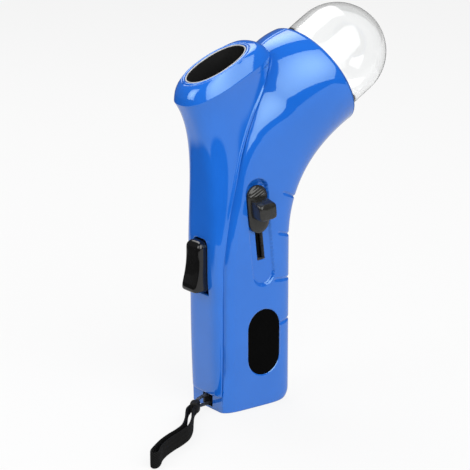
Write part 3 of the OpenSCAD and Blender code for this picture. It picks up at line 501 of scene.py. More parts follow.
def rear_shell(side):
    """Patches of one rear shell. Its grid runs from the floor over the handle and the elbow to the rounded
    rim and down the socket. It is cut at the seam and at the middle, with both edges folded inwards.
    side is 1 for the right shell, and -1 for the left one, which is made on the right and mirrored."""
    low = steps(
        (0.0, HOLE_LOW, 0.2), (HOLE_LOW, HOLE_HIGH, 0.68), (HOLE_HIGH, FRONT_TOP, 0.4),
        (FRONT_TOP, 14.0, 0.8), (14.0, HANDLE_TOP - 0.5, 0.5))
    bend = steps((0.0, 0.34, 0.0055), (0.34, 0.77, 0.011), (0.77, 0.875, 0.0026), (0.875, 0.993, 0.011))
    rows = stack(handle_rows(low, PIVOT_Y, -1), elbow_rows(bend))
    height = np.concatenate([low, np.full_like(bend, FAR)])
    drawn = FOOT_ROUND * (1 - np.sqrt(1 - np.clip(1 - height / FOOT_ROUND, 0, 1) ** 2))
    rows["half"] = rows["half"] - drawn
    rows["depth"] = rows["depth"] - drawn
    rolled = np.concatenate([np.full_like(low, EDGE_ROUND), EDGE_ROUND + ELBOW_ROUND * smooth(bend / 0.25)])
    points, edge, tangent, inward, lead = half_rings(
        rows, PIVOT_Y, -1, np.linspace(0, 1, 150), SEAM_GAP, True, rolled, tail=EDGE_ROUND)
    closed_front = height < FRONT_TOP - 0.1
    inward = np.where(closed_front[:, None], -X_AXIS, inward)
    depth = np.where(closed_front, edge[:, 0], WALL)
    fold = folded_edge(edge, tangent, inward, lead, depth, (1.0, 0.889, 0.778, 0.667, 0.5, 0.333, 0.167))
    shape = section(rows)
    behind = place(rows, *oval(np.full((1, 1), np.pi / 2), *shape), PIVOT_Y, -1)[:, 0]
    middle = place(rows, 0 * shape[0], 0 * shape[0], PIVOT_Y, -1)[:, 0]
    back = folded_edge(behind, X_AXIS, unit(middle - behind), EDGE_ROUND, BACK_FOLD, (1.0,))[:, ::-1]

    normal = surface_normals(points)
    ease = EDGE_SINK * window(edge[:, 2], *SINK_SPAN)
    sunk = ease[:, None] * np.clip(1.0 - run_length(points) / EDGE_BAND, 0.0, 1.0) ** 1.5
    fold -= ease[:, None, None] * normal[:, :1]
    points -= normal * (grip_grooves(points) + sunk)[..., None]
    in_slot = press_right(points) if side > 0 else press_left(points)
    grid = np.concatenate([fold, points, back], axis=1)
    grid[..., 0] = np.maximum(grid[..., 0], HALF_GAP)

    theta = np.arctan2((grid[-1] - COLLAR) @ DOME_DOWN, grid[-1, :, 0])
    socket_r = [RIM_FLAT, SOCKET_R + SOCKET_ROUND, SOCKET_R, SOCKET_R, SOCKET_R]
    socket_out = [0.0, 0.0, -SOCKET_ROUND, -4.0, -SOCKET_DEPTH]
    radius = np.concatenate([COLLAR_R - RIM_ROUND + RIM_ROUND * np.cos(QUARTER), socket_r])
    rim = round_dome(radius, np.concatenate([RIM_ROUND * (np.sin(QUARTER) - 1), socket_out]), theta)
    rim[..., 0] = np.maximum(rim[..., 0], HALF_GAP)
    floor = np.stack([grid[0] * (0, 1, 1) + HALF_GAP * X_AXIS, grid[0] * (0.5, 1, 1)])
    # Faces wholly in the slot are left out. Those along its edge take the second finish, which is painted
    # shade on the slot's walls
    hidden = np.zeros(grid.shape[:2], bool)
    hidden[:, fold.shape[1]:fold.shape[1] + points.shape[1]] = in_slot
    hidden = corner_flags(np.pad(hidden, ((len(floor), len(rim)), (0, 0))))
    keep = ~hidden.all(axis=0)
    opening = np.flatnonzero((low[:-1] > HOLE_LOW - 0.01) & (low[1:] < HOLE_HIGH + 0.01))
    keep[len(floor) + opening[0]:len(floor) + opening[-1] + 1, :HOLE_COLS] = False
    tunnel = strap_tunnel(grid[opening[0], HOLE_COLS, 0])
    mirror = 1.0 if side > 0 else MIRROR
    whole = np.concatenate([floor, grid, rim])
    # The strap's tunnel also takes the second finish, which is painted shade on its walls
    return [
        patch(whole * mirror, keep=keep, slot=hidden.any(axis=0)), patch(tunnel * mirror, outward=-1, slot=1),
    ]


def muzzle_points(angle, grow, rise):
    """Ring of the slanted muzzle at a polar angle: a superellipse grown outwards and lifted on its axis."""
    x, q = oval(angle, MUZZLE_W / 2 + grow, MUZZLE_L / 2 + grow, MUZZLE_N, MUZZLE_N)
    c, s = np.cos(rad(MUZZLE_TILT)), np.sin(rad(MUZZLE_TILT))
    return np.stack([x, MUZZLE_Y + q * c - rise * s, MUZZLE_Z + q * s + rise * c], axis=-1)


def muzzle_half(cols, grow, rise):
    """Right half of a muzzle ring, from the rear to the front, with columns spaced evenly along it."""
    angle = np.linspace(np.pi / 2, -np.pi / 2, 721)
    length = run_length(muzzle_points(angle, grow, rise))
    return muzzle_points(np.interp(cols * length[-1], length, angle), grow, rise)


def cut_window(grid):
    """Cuts the trigger's window: points near its outline are snapped onto it, and those inside go straight in
    by the wall. Returns which points lie inside."""
    low_end, high_end = TRIGGER_LOW - WINDOW_BELOW, TRIGGER_TOP + WINDOW_GAP
    middle = 0.5 * (low_end + high_end)
    r = np.where(grid[..., 2] > middle, WINDOW_TOP_R, WINDOW_FOOT_R)
    size = (TRIGGER_W + WINDOW_GAP, high_end - low_end)
    d, ga, gb = rounded_box(grid[..., 0], grid[..., 2] - middle, *size, r)
    d = np.where((grid[..., 1] > WINDOW_Y) | (grid[..., 2] > WINDOW_Z), FAR, d)
    d = snap(grid, X_AXIS, Z_AXIS, (d, ga, gb), 0.24)
    inside = d < 0
    edge = np.where(inside & (d > -WALL), d, 0.0)
    grid += np.stack([-edge * ga, np.where(inside, WALL, 0.0), -edge * gb], axis=-1)
    return inside


def front_cover():
    """Patch of the front cover: one grid from its rounded foot over handle and barrel to the lip, up the
    slanted bevel, over the rim and into the muzzle. Its two edges along the seam are folded inwards."""
    turn = rad(np.array([90.0, 90.0, 68.0, 45.0, 22.0]))
    foot = COVER_FOOT + COVER_ROUND * (1 - np.sin(turn))
    low = np.concatenate([foot, steps((FRONT_TOP, 57.0, 1.0), (57.0, HANDLE_TOP - 0.5, 0.5))])
    rise = steps((0.0, 0.06, 0.0068), (0.06, 0.88, 0.0137), (0.88, 1.0, 0.005))
    rows = stack(handle_rows(low, BARREL_Y, 1), barrel_rows(rise))
    drawn = np.zeros(len(low) + len(rise))
    drawn[:len(foot)] = COVER_ROUND * (1 - np.cos(turn))
    drawn[0] += COVER_LIP
    rows["half"] = rows["half"] - drawn
    rows["depth"] = rows["depth"] - drawn
    cols = np.linspace(0, 1, 96)
    height = np.concatenate([low, np.full_like(rise, FAR)])
    round_r = COVER_EDGE + COVER_SOFT * smooth((height - 60.0) / 15.0)
    points, edge, tangent, inward, lead = half_rings(rows, BARREL_Y, 1, cols, -SEAM_GAP, False, round_r)
    depth = np.where(lead > 0, WALL, 0.0)
    fold = folded_edge(edge, tangent, inward, lead, depth, (1.0,))
    normal = surface_normals(points)
    bead_h = BEAD_RISE * window(edge[:, 2], *BEAD_SPAN)
    fold += bead_h[:, None, None] * normal[:, :1]
    points += normal * (bead_h[:, None] * np.exp(-((run_length(points) / BEAD_W) ** 2)))[..., None]
    half = np.concatenate([fold, points], axis=1)

    rings = np.concatenate([np.zeros(fold.shape[1]), cols])
    top = muzzle_half(rings, RIM_BAND, 0.0)
    w = np.array([0.03, 0.1, 0.2, 0.32, 0.44, 0.56, 0.68, 0.8, 0.9, 0.97])[:, None, None]
    rear = (top[:, 1] - MUZZLE_Y) / np.cos(rad(MUZZLE_TILT)) / (MUZZLE_L / 2 + RIM_BAND)
    rear_swell, front_swell = np.array((0.0, 0.92, 2.1)), np.array((0.0, -0.75, 0.66))
    swell = smooth((rear - 0.2) / 0.7)[:, None] * rear_swell
    swell = swell + (0.3 + 1.1 * smooth((-rear - 0.1) / 0.8))[:, None] * front_swell
    bevel = mix(half[-1][None], top[None], w) + 4 * w * (1 - w) * swell
    rim_bead = (
        (RIM_BAND, 0.0), (2.52, -0.32), (2.42, -0.1), (2.3, 0.14), (2.05, 0.32), (1.7, 0.4), (1.4, 0.4),
        (1.15, 0.3), (0.97, 0.12), (0.88, -0.1), (0.87, -3.0),
    )
    band = [muzzle_half(rings, grow, lift) for grow, lift in rim_bead]
    half = np.concatenate([half, bevel, np.stack(band)])
    grid = np.concatenate([half, (half * MIRROR)[:, -2::-1]], axis=1)
    inside = cut_window(grid)
    return [patch(grid, keep=~corner_flags(inside).all(axis=0))]


# Smaller pieces


def muzzle_liner():
    """Patches of the liner: a black sleeve that blends from the round tube to the oval muzzle, and its rim,
    coloured pale as a painted highlight on its edge."""
    angle = circle(128)
    w = np.concatenate([[0.0, 0.0], np.linspace(0.0, 1.0, 17)[1:]])
    foot = np.concatenate([[LINER_LOW], np.full(17, LINER_FOOT)])

    def sleeve(grow):
        """Rings blended with an eased step from the tube's head to the muzzle."""
        r = LINER_R + grow
        low = from_tube(r * np.cos(angle)[None], r * np.sin(angle)[None], foot[:, None])
        return mix(low, muzzle_points(angle, grow, -LINER_SINK)[None], smooth(w)[:, None, None])

    rim_steps = ((0.0, -LINER_SINK), (0.06, 0.12), (0.3, 0.24), (0.6, 0.2), (LINER_T, -LINER_SINK))
    rim = np.stack([muzzle_points(angle, grow, lift) for grow, lift in rim_steps])
    inner, outer = sleeve(0.0), sleeve(LINER_T)
    # The rim takes the second finish, a pale painted highlight
    return [
        patch(inner, closed=True, outward=-1), patch(outer, closed=True), patch(rim, closed=True, slot=1),
        patch(np.stack([outer[0], inner[0]]), closed=True),
    ]


def dome_shell():
    """Patches of the clear dome: the neck with its ring groove, the straight wall and the half ball, outside
    and then inside, as profiles turned round the collar's axis."""
    ball_at, ball_r, bore_r, neck_r, neck_end = 19.0, 25.0, 23.4, 24.6, -10.0
    ring_at, ring_r, ring_middle = -3.4, 0.78, 24.35
    ball = np.linspace(0.0, np.pi / 2, 25)
    neck = np.linspace(-4.3, -2.5, 9)
    groove = ring_middle - np.sqrt(np.maximum(ring_r**2 - (neck - ring_at) ** 2, 0.0))
    foot_r, foot_out = [23.5, 24.5, neck_r], [neck_end, neck_end, -9.8]
    wall_r, wall_out = [neck_r, 24.65, 24.85, ball_r, ball_r, ball_r], [0.3, 0.42, 0.5, 0.8, 7.0, 13.0]
    outer_r = np.concatenate([foot_r, np.minimum(neck_r, groove), wall_r, ball_r * np.cos(ball)])
    outer_out = np.concatenate([foot_out, neck, wall_out, ball_at + ball_r * np.sin(ball)])
    down = np.pi / 2 - ball[::-1]
    inner_r = np.concatenate([bore_r * np.sin(down), [bore_r, bore_r, bore_r, foot_r[0]]])
    inner_out = np.concatenate([ball_at + bore_r * np.cos(down), [10.0, 0.0, -9.9, neck_end]])
    outer = round_dome(outer_r, outer_out, circle(128))
    inner = round_dome(inner_r, inner_out, circle(128))
    return [patch(outer, closed=True), patch(inner, closed=True, outward=-1)]


def stadium_fill(w, h, count, k):
    """Grid over an upright stadium: rings from its middle line at k = 0 to its outline at k = 1, with columns
    spaced evenly along the outline."""
    angle = np.linspace(0.0, 2 * np.pi, DENSE)
    end = (h - w) / 2 * np.sign(np.sin(angle) + 1e-12)
    dense = np.stack([w / 2 * np.cos(angle), w / 2 * np.sin(angle) + end], axis=-1)
    length = run_length(dense)
    at = np.linspace(0.0, length[-1], count, endpoint=False)
    outline = np.stack([np.interp(at, length, dense[:, axis]) for axis in (0, 1)], axis=-1)
    line = np.stack([0 * at, np.clip(outline[:, 1], -(h - w) / 2, (h - w) / 2)], axis=-1)
    return mix(line[None], outline[None], k[:, None, None])


def padded_box(w, h, n, levels, count=96):
    """Rounded box as stacked superellipses; levels are (height, inset), and both ends close to a point."""
    a, b = oval(circle(count), w / 2, h / 2, n, n)
    level, inset = np.array(levels).T
    shrink_a = np.maximum(1 - inset / (w / 2), 0)[:, None]
    shrink_b = np.maximum(1 - inset / (h / 2), 0)[:, None]
    return level[:, None] + 0 * shrink_a * a, a * shrink_a, b * shrink_b


def rounded_levels(low, high, r_low, r_high):
    """Levels of a box with rounded lower and upper edges, closed at both ends."""
    first = [(low + r_low * (1 - np.sin(a)), r_low * (1 - np.cos(a))) for a in QUARTER[::-1]]
    last = [(high - r_high * (1 - np.sin(a)), r_high * (1 - np.cos(a))) for a in QUARTER]
    return [(low, FAR)] + first + last + [(high, FAR)]


def slider_knob():
    """Patches of the slider: a cushioned plate with fine thumb ridges above a rounded block, and the hidden
    stem. The block's far side leans out towards its foot."""
    under_plate = np.array((14.9, 14.4, PLATE_X, PLATE_X))
    k = np.concatenate([np.linspace(0.0, 0.9, 19), [0.94, 0.97, 0.99, 1.0, 1.0, 1.0, 0.97, 0.0]])
    flat = stadium_fill(PLATE_W, PLATE_L, 300, k)
    rise = PLATE_X + PLATE_T - PLATE_CROWN * k[:, None] ** 5 + 0 * flat[..., 0]
    ridge = 0.5 + 0.5 * np.cos(2 * np.pi * (flat[..., 1] - RIDGE_SLANT * flat[..., 0]) / RIDGE_STEP)
    ridge = ridge * smooth((flat[..., 1] - RIDGE_FROM) / 0.6) * smooth((0.95 - k[:, None]) / 0.12)
    rise += RIDGE_H * ridge
    rise[-len(under_plate):] = under_plate[:, None]
    plate = from_tube(rise, flat[..., 0], flat[..., 1] + PIN_S)
    x, a, b = padded_box(BLOCK_W, BLOCK_L, BLOCK_N, rounded_levels(BLOCK_FOOT, BLOCK_END, 0.2, BLOCK_ROUND))
    drop = np.clip((BLOCK_END - x) / (BLOCK_END - BLOCK_FOOT), 0, 1)
    ramp = BLOCK_RAMP * drop * np.clip(2 * b / BLOCK_L, 0, 1)
    dished = BLOCK_DISH * np.exp(-((a / BLOCK_DISH_W) ** 2)) * (x > BLOCK_END - 0.2)
    block = from_tube(x - dished, a, b + ramp + PIN_S)
    x, a, b = padded_box(STEM_W, STEM_L, 8.0, rounded_levels(STEM_LOW, STEM_HIGH, 0.3, 0.3), 48)
    stem = from_tube(x, a, b + PIN_S)
    return [patch(plate, closed=True), patch(block, closed=True), patch(stem, closed=True)]


def trigger():
    """Patches of the trigger: sections from its foot to its rounded top between the dished finger face and
    the flat back, and behind it the hub, the arm and the catch nose."""
    turn = QUARTER[::-1]
    bow = rad(np.linspace(0.0, 82.0, 12))
    z = np.concatenate([
        [TRIGGER_LOW], TRIGGER_LOW + TRIGGER_FOOT * (1 - np.sin(turn)), np.linspace(64.8, 84.6, 40),
        TRIGGER_TOP - TRIGGER_ROUND + TRIGGER_ROUND * np.sin(bow), [TRIGGER_TOP],
    ])
    inset = np.zeros_like(z)
    inset[1:1 + len(turn)] = TRIGGER_FOOT * (1 - np.cos(turn))
    half = np.full_like(z, TRIGGER_W / 2)
    top_rows = slice(-1 - len(bow), -1)
    half[top_rows] += -TRIGGER_ROUND + TRIGGER_ROUND * np.cos(bow)
    t = np.clip((z - TRIGGER_LOW) / (TRIGGER_TOP - TRIGGER_LOW), 0, 1)
    dished = FINGER_DISH * np.sin(np.pi * t) + FINGER_DISH * (2 * t - 1) ** 8
    face = -HANDLE_FRONT - mix(PROUD_LOW, PROUD_TOP, t) + dished
    face[top_rows] += TOP_LEAN * (1 - np.cos(bow))
    face[-1] = face[-2]
    deep = (TRIGGER_BACK - face) / 2 - inset
    x, q = oval(circle(200)[None], (half - inset)[:, None], deep[:, None], TRIGGER_N, TRIGGER_N)
    close = np.ones((len(z), 1))
    close[[0, -1]] = 0.0
    middle = ((TRIGGER_BACK + face) / 2)[:, None]
    blade = np.stack([x * close, middle + q * close, z[:, None] + 0 * x], axis=-1)

    def bar(x_mid, y_mid, w, d, low, high):
        """Upright bar with a squarish section."""
        level, a, b = padded_box(w, d, 8.0, rounded_levels(low, high, 0.2, 0.2), 48)
        return patch(np.stack([x_mid + a, y_mid + b, level], axis=-1), closed=True)

    level, a, b = padded_box(HUB_W, HUB_W, 2.0, rounded_levels(-2.4, 6.0, 0.2, 0.2), 64)
    hub = patch(np.stack([level, TRIGGER_PIN_Y + a, TRIGGER_PIN_Z + b], axis=-1), closed=True)
    bridge = bar(1.8, -17.0, 8.2, 4.4, TRIGGER_PIN_Z - 3.4, TRIGGER_PIN_Z + 3.4)
    arm = bar(0.0, TRIGGER_PIN_Y, ARM_W, 4.0, TRIGGER_PIN_Z, NOSE_Z + NOSE_HALF)
    nose = bar(0.0, -11.6, ARM_W, 7.6, NOSE_Z - NOSE_HALF, NOSE_Z + NOSE_HALF)
    return [patch(blade, closed=True), hub, bridge, arm, nose]


def badge_plate():
    """Patch of the oval inlay: a slightly domed stadium with a rounded edge, bare."""
    k = np.array([0.0, 0.2, 0.4, 0.6, 0.8, 0.93, 0.97, 0.99, 1.0, 1.0, 0.0])
    fall = np.array([0.0, 0.0, 0.0, 0.01, 0.02, 0.03, 0.06, 0.12, 0.25, BADGE_T, BADGE_T])
    flat = stadium_fill(BADGE_W, BADGE_H, 160, k)
    x = (BADGE_X + BADGE_LIFT + BADGE_T - fall)[:, None] + 0 * flat[..., 0]
    return [patch(np.stack([x, BADGE_Y + flat[..., 0], BADGE_Z + flat[..., 1]], axis=-1), closed=True)]


# Spring and strap


def swept(route, first, second, radius, angle):
    """Tube along a route: circles spanned by two directions across it, each ring with its radius."""
    ring = np.cos(angle)[None, :, None] * first[:, None]
    ring = ring + np.sin(angle)[None, :, None] * second[:, None]
    return [patch(route[:, None] + radius[..., None] * ring, closed=True)]


def closed_ends(at):
    """One along a route, and nought at its two ends, where the section closes to a point."""
    return np.where((at == at[0]) | (at == at[-1]), 0.0, 1.0)[:, None]


def smooth_route(points, step):
    """Smooth curve through points, with even steps along it: a cubic through each four neighbours."""
    p = np.array(points, float)
    p = np.concatenate([[2 * p[0] - p[1]], p, [2 * p[-1] - p[-2]]])
    t = np.linspace(0, 1, 24, endpoint=False)[None, :, None]
    a, b, c, d = (p[k:len(p) - 3 + k, None] for k in range(4))
    curve = 0.5 * (2 * b + (c - a) * t + (2 * a - 5 * b + 4 * c - d) * t**2 + (3 * b - a - 3 * c + d) * t**3)
    curve = np.concatenate([curve.reshape(-1, p.shape[1]), p[-2:-1]])
    length = run_length(curve)
    at = np.linspace(0, length[-1], int(round(length[-1] / step)) + 1)
    return np.stack([np.interp(at, length, curve[:, k]) for k in range(p.shape[1])], axis=-1), at


def launch_spring():
    """Patch of the launch spring: a round wire along a helix round the tube's axis. Each ring lies across the
    wire's own direction, and both ends close to a point."""
    at = np.linspace(0.0, 1.0, SPRING_TURNS * 24 + 1)
    turn = 2 * np.pi * SPRING_TURNS * at
    centre = from_tube(SPRING_R * np.cos(turn), SPRING_R * np.sin(turn), mix(*SPRING_ENDS, at))
    out = np.cos(turn)[:, None] * X_AXIS + np.sin(turn)[:, None] * ACROSS_TUBE
    tangent = unit(np.gradient(centre, axis=0))
    return swept(centre, out, np.cross(tangent, out), SPRING_WIRE * closed_ends(at), circle(12))


def strap_cord():
    """Patch of the cord loop: a round section along the route, with three strands that wind round it."""
    route, at = smooth_route(LOOP_ROUTE, 0.35)
    tangent = unit(np.gradient(route, axis=0))
    side = unit(np.cross(tangent, X_AXIS * 0.98 + Y_AXIS * 0.02))
    angle = circle(28)
    strands = np.abs(np.cos(1.5 * angle[None] - at[:, None] * LOOP_TWIST))
    radius = LOOP_D / 2 * (0.86 + 0.14 * strands) * closed_ends(at)
    return swept(route, side, np.cross(side, tangent), radius, angle), route, at[-1]


def webbing():
    """Patch of the webbing: a thin flat section that stands on its edge along the route, with woven ribs
    along its length and narrower ends. The map is length and width in millimetres."""
    half_thick, rib_h, ribs, stitch = 0.42, 0.14, 9, 1.3
    route, at = smooth_route(WEBBING_ROUTE, 0.6)
    route = np.concatenate([route, np.full((len(route), 1), WEBBING_W / 2 + WEBBING_LIFT)], axis=1)
    side = np.cross(unit(np.gradient(route, axis=0)), Z_AXIS)
    w = np.linspace(-1.0, 1.0, 41)
    thick = half_thick + rib_h * np.cos(w * np.pi * ribs) ** 2
    thick = thick * np.sqrt(np.maximum(1 - np.abs(w) ** 14, 0))
    width = np.concatenate([w, w[-2:0:-1]]) * WEBBING_W / 2
    gather = 1 - GATHER * (1 - smooth(np.minimum(at, at[-1] - at) / GATHER_L))
    offset = np.concatenate([thick, -thick[-2:0:-1]])
    weave = 1.0 + 0.1 * np.sin(at[:, None] * 2 * np.pi / stitch + np.round(width[None] * 1.2) * np.pi)
    points = route[:, None] + (offset[None] * weave * closed_ends(at))[..., None] * side[:, None]
    points = points + (width[None] * gather[:, None])[..., None] * Z_AXIS
    uv = np.stack(np.broadcast_arrays(at[:, None], width[None] + 5.0), axis=-1)
    return [patch(points, closed=True, uv=uv)], route, at[-1]


def strap_clamp():
    """Patch of the sleeve that joins cord loop and webbing: a rounded box turned towards the webbing."""
    levels = rounded_levels(SLEEVE_LOW, WEBBING_W - 1.0, SLEEVE_ROUND, SLEEVE_ROUND)
    level, a, b = padded_box(SLEEVE_W, SLEEVE_L, 4.0, levels)
    c, s = np.cos(rad(SLEEVE_TURN)), np.sin(rad(SLEEVE_TURN))
    x, y = SLEEVE_AT[0] + a * c - b * s, SLEEVE_AT[1] + a * s + b * c
    return [patch(np.stack([x, y, level], axis=-1), closed=True)]


# Finishes

# Noise of every finish: detail, the span that takes up its colours and its depth in metres. Then the yarns
GRAIN_DETAIL, GRAIN_ENDS, GRAIN_DEPTH = 3.0, (0.3, 0.7), 0.0002
YARN_SCALE, YARN_WOBBLE = 0.55, 0.6


def add_node(tree, kind, inputs, **settings):
    """New shader node with its settings. Each input is linked to another node's output or set to a value."""
    node = tree.nodes.new("ShaderNode" + kind)
    for key, value in settings.items():
        setattr(node, key, value)
    for key, value in inputs.items():
        if isinstance(value, bpy.types.NodeSocket):
            tree.links.new(value, node.inputs[key])
        else:
            node.inputs[key].default_value = value
    return node


def colour_ramp(tree, value, low, high, ends):
    """Colour that goes from low to high as a value goes from one end to the other."""
    ramp = add_node(tree, "ValToRGB", {"Fac": value})
    for element, position, colour in zip(ramp.color_ramp.elements, ends, (low, high)):
        element.position = position
        element.color = (*colour, 1.0)
    return ramp.outputs["Color"]


def finish(name, low, high, rough, grain, bump, **sockets):
    """Principled finish whose colour, gloss and surface vary a little with fine noise in object space."""
    material = bpy.data.materials.new(name)
    material.use_nodes = True
    tree = material.node_tree
    shader = tree.nodes["Principled BSDF"].inputs
    for key, value in sockets.items():
        shader[key.replace("_", " ")].default_value = value
    where = add_node(tree, "TexCoord", {}).outputs["Object"]
    noise = add_node(tree, "TexNoise", {"Vector": where, "Scale": grain, "Detail": GRAIN_DETAIL})
    noise = noise.outputs["Fac"]
    gloss = add_node(tree, "MapRange", {"Value": noise, "To Min": rough[0], "To Max": rough[1]})
    relief = add_node(tree, "Bump", {"Height": noise, "Strength": bump, "Distance": GRAIN_DEPTH})
    tree.links.new(colour_ramp(tree, noise, low, high, GRAIN_ENDS), shader["Base Color"])
    tree.links.new(gloss.outputs["Result"], shader["Roughness"])
    tree.links.new(relief.outputs["Normal"], shader["Normal"])
    return material


def woven(name, dark, light):
    """Webbing finish: fine slanting yarns from a wave over the strap's own map of length and width."""
    material = finish(name, dark, light, (0.75, 0.95), 2500.0, 0.4, Specular_IOR_Level=0.15)
    tree = material.node_tree
    where = add_node(tree, "UVMap", {}, uv_map="length_width").outputs["UV"]
    wave = add_node(
        tree, "TexWave", {"Vector": where, "Scale": YARN_SCALE, "Distortion": YARN_WOBBLE},
        bands_direction="DIAGONAL")
    yarns = colour_ramp(tree, wave.outputs["Fac"], dark, light, (0.0, 1.0))
    tree.links.new(yarns, tree.nodes["Principled BSDF"].inputs["Base Color"])
    return material


blue = finish(
    "glossy_blue", (0.0070, 0.114, 0.540), (0.0084, 0.123, 0.570), (0.04, 0.07), 60.0, 0.02,
    Specular_IOR_Level=1.0, Specular_Tint=(0.57, 0.95, 0.86, 1.0),
    Coat_Weight=0.4, Coat_Roughness=0.02, Coat_IOR=1.6)
satin_black = finish("satin_black", (0.015, 0.015, 0.014), (0.022, 0.022, 0.020), (0.10, 0.16), 900.0, 0.06)
gloss_black = finish(
    "gloss_black", (0.002, 0.002, 0.002), (0.004, 0.004, 0.004), (0.05, 0.08), 900.0, 0.03,
    Specular_IOR_Level=0.65)
oval_black = finish(
    "oval_black", (0.0007, 0.0007, 0.0007), (0.0013, 0.0013, 0.0013), (0.30, 0.38), 700.0, 0.03,
    Specular_IOR_Level=0.03)
matte_black = finish(
    "matte_black", (0.004, 0.004, 0.004), (0.008, 0.008, 0.008), (0.55, 0.7), 1200.0, 0.15,
    Specular_IOR_Level=0.2)
# Pale grey painted highlight on the muzzle liner's rim
rim_painted_highlight = finish("rim_painted_highlight", (0.33, 0.335, 0.34), (0.46, 0.465, 0.47), (0.35, 0.5), 800.0, 0.1)
# Near-black painted shade: it darkens the slot's walls, the strap's tunnel and the parts inside the launch
# tube, where shade falls
inner_dark = finish("inner_dark", (0.020, 0.020, 0.021), (0.032, 0.032, 0.034), (0.5, 0.65), 700.0, 0.1)
steel = finish("steel", (0.42, 0.42, 0.44), (0.58, 0.58, 0.60), (0.22, 0.36), 1500.0, 0.08, Metallic=1.0)
dark_steel = finish(
    "dark_steel", (0.02, 0.02, 0.021), (0.04, 0.04, 0.042), (0.4, 0.55), 1500.0, 0.08, Metallic=1.0)
rubber = finish("seal_rubber", (0.58, 0.59, 0.60), (0.70, 0.71, 0.72), (0.5, 0.65), 1500.0, 0.15)
clear = finish(
    "clear_dome", (0.965, 0.97, 0.97), (0.98, 0.985, 0.985), (0.02, 0.05), 45.0, 0.02,
    Transmission_Weight=1.0, IOR=1.45)
cord_grey = finish("cord_grey", (0.006, 0.007, 0.010), (0.07, 0.075, 0.085), (0.3, 0.5), 1300.0, 0.3)
strap_weave = woven("strap_weave", (0.001, 0.001, 0.001), (0.009, 0.009, 0.0092))

# Pieces with their finishes, bodies and slots. Each stands for the node of its name

cord_form, cord_route, cord_length = strap_cord()
webbing_form, webbing_route, webbing_length = webbing()
made = {
    "right_shell": (rear_shell(1), (blue, inner_dark), "housing", "body_blue"),
    "left_shell": (rear_shell(-1), (blue, inner_dark), "housing", "body_blue"),
    "front_cover": (front_cover(), (blue,), "housing", "body_blue"),
    "muzzle_liner": (muzzle_liner(), (matte_black, rim_painted_highlight), "housing", "black_matte"),
    "badge_plate": (badge_plate(), (oval_black,), "housing", "black_gloss"),
    "dome": (dome_shell(), (clear,), "dome", "clear"),
    "slider_knob": (slider_knob(), (satin_black,), "plunger", "black_gloss"),
    "trigger": (trigger(), (gloss_black,), "trigger", "black_gloss"),
    "strap_clamp": (strap_clamp(), (matte_black,), "housing", "black_matte"),
    "launch_spring": (launch_spring(), (steel,), "housing", "steel"),
    "strap_cord": (cord_form, (cord_grey,), "housing", "strap_black"),
    "wrist_strap": (webbing_form, (strap_weave,), "housing", "strap_black"),
}
pieces = {}
for node, (patches, materials, body, slot) in made.items():
    pieces[node] = make_piece(node + "_form", patches, materials, body)
    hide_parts(node)

seat = from_tube(np.array(0.0), np.array(0.0), np.array(SPRING_SEAT)) * MM
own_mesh(pieces["launch_spring"])

# Nodes that stay as they are, with a finish each

# The launch tube, piston and spring plug take the near-black painted shade of the tube's inside
kept = {
    "launch_tube": inner_dark, "piston": inner_dark, "spring_plug": inner_dark, "hopper_funnel": matte_black,
    "cocking_pin": steel, "trigger_pin": steel, "trigger_spring": steel, "strap_pin": dark_steel,
    "shell_screws": steel, "dome_seal": rubber,
}
for node, material in kept.items():
    nodes[node].data.materials.clear()
    nodes[node].data.materials.append(material)

# Camera, floor and light, in metres

SENSOR, FOCAL_PX, FRAME_PX = 36.0, 1800.0, 470.0
EYE_BACK, EYE_AIM, EYE_FAR = (0.7757, -0.5740, 0.2622), (0.0, -0.0014, 0.0875), 0.9
# Floor: its diffuse colour, its share of glow, the glow in mirror rays, and the edges of that glow as
# (direction, distance) with the width over which they fade
FLOOR_HALF, FLOOR_PALE, FLOOR_SHARE = 9.0, (0.62, 0.62, 0.62, 1.0), 0.85
FLOOR_GLOSS, DIM_GLOSS, FLOOR_FADE = 0.72, 0.06, 0.03
FLOOR_EDGES = (((0.58, -0.81, 0.0), 0.365), ((-0.5, -0.85, 0.0), 0.27), ((0.0, 1.0, 0.0), 0.44))
# Room: its level on surfaces, in mirror rays and to the camera. Lamps: strength in the middle and at the edge
ROOM_LIGHT, ROOM_MIRROR, ROOM_SEEN = 0.4, 0.12, 1.0
LAMP_MIDDLE, LAMP_EDGE, LAMP_REACH, LAMP_CENTRE = 1.3, 0.6, 0.7, (0.5, 0.5, 0.0)
WHITE = (1.0, 1.0, 1.0, 1.0)

scene = bpy.context.scene
scene.view_settings.view_transform = "Standard"


def stand(item, at, back):
    """Puts a camera or lamp at a point, with its own z axis along back and its x axis level."""
    back = unit(np.array(back))
    right = unit(np.cross(Z_AXIS, back))
    turned = np.eye(4)
    turned[:3] = np.stack([right, np.cross(back, right), back, at], axis=1)
    item.matrix_world = Matrix(turned.tolist())
    scene.collection.objects.link(item)


camera = bpy.data.objects.new("camera", bpy.data.cameras.new("camera"))
camera.data.sensor_width = SENSOR
camera.data.lens = FOCAL_PX * SENSOR / FRAME_PX
stand(camera, np.array(EYE_AIM) + EYE_FAR * unit(np.array(EYE_BACK)), EYE_BACK)
scene.camera = camera


def math_node(tree, operation, *values):
    """Result of a math node whose inputs are other nodes' outputs or plain numbers."""
    return add_node(tree, "Math", dict(enumerate(values)), operation=operation).outputs["Value"]


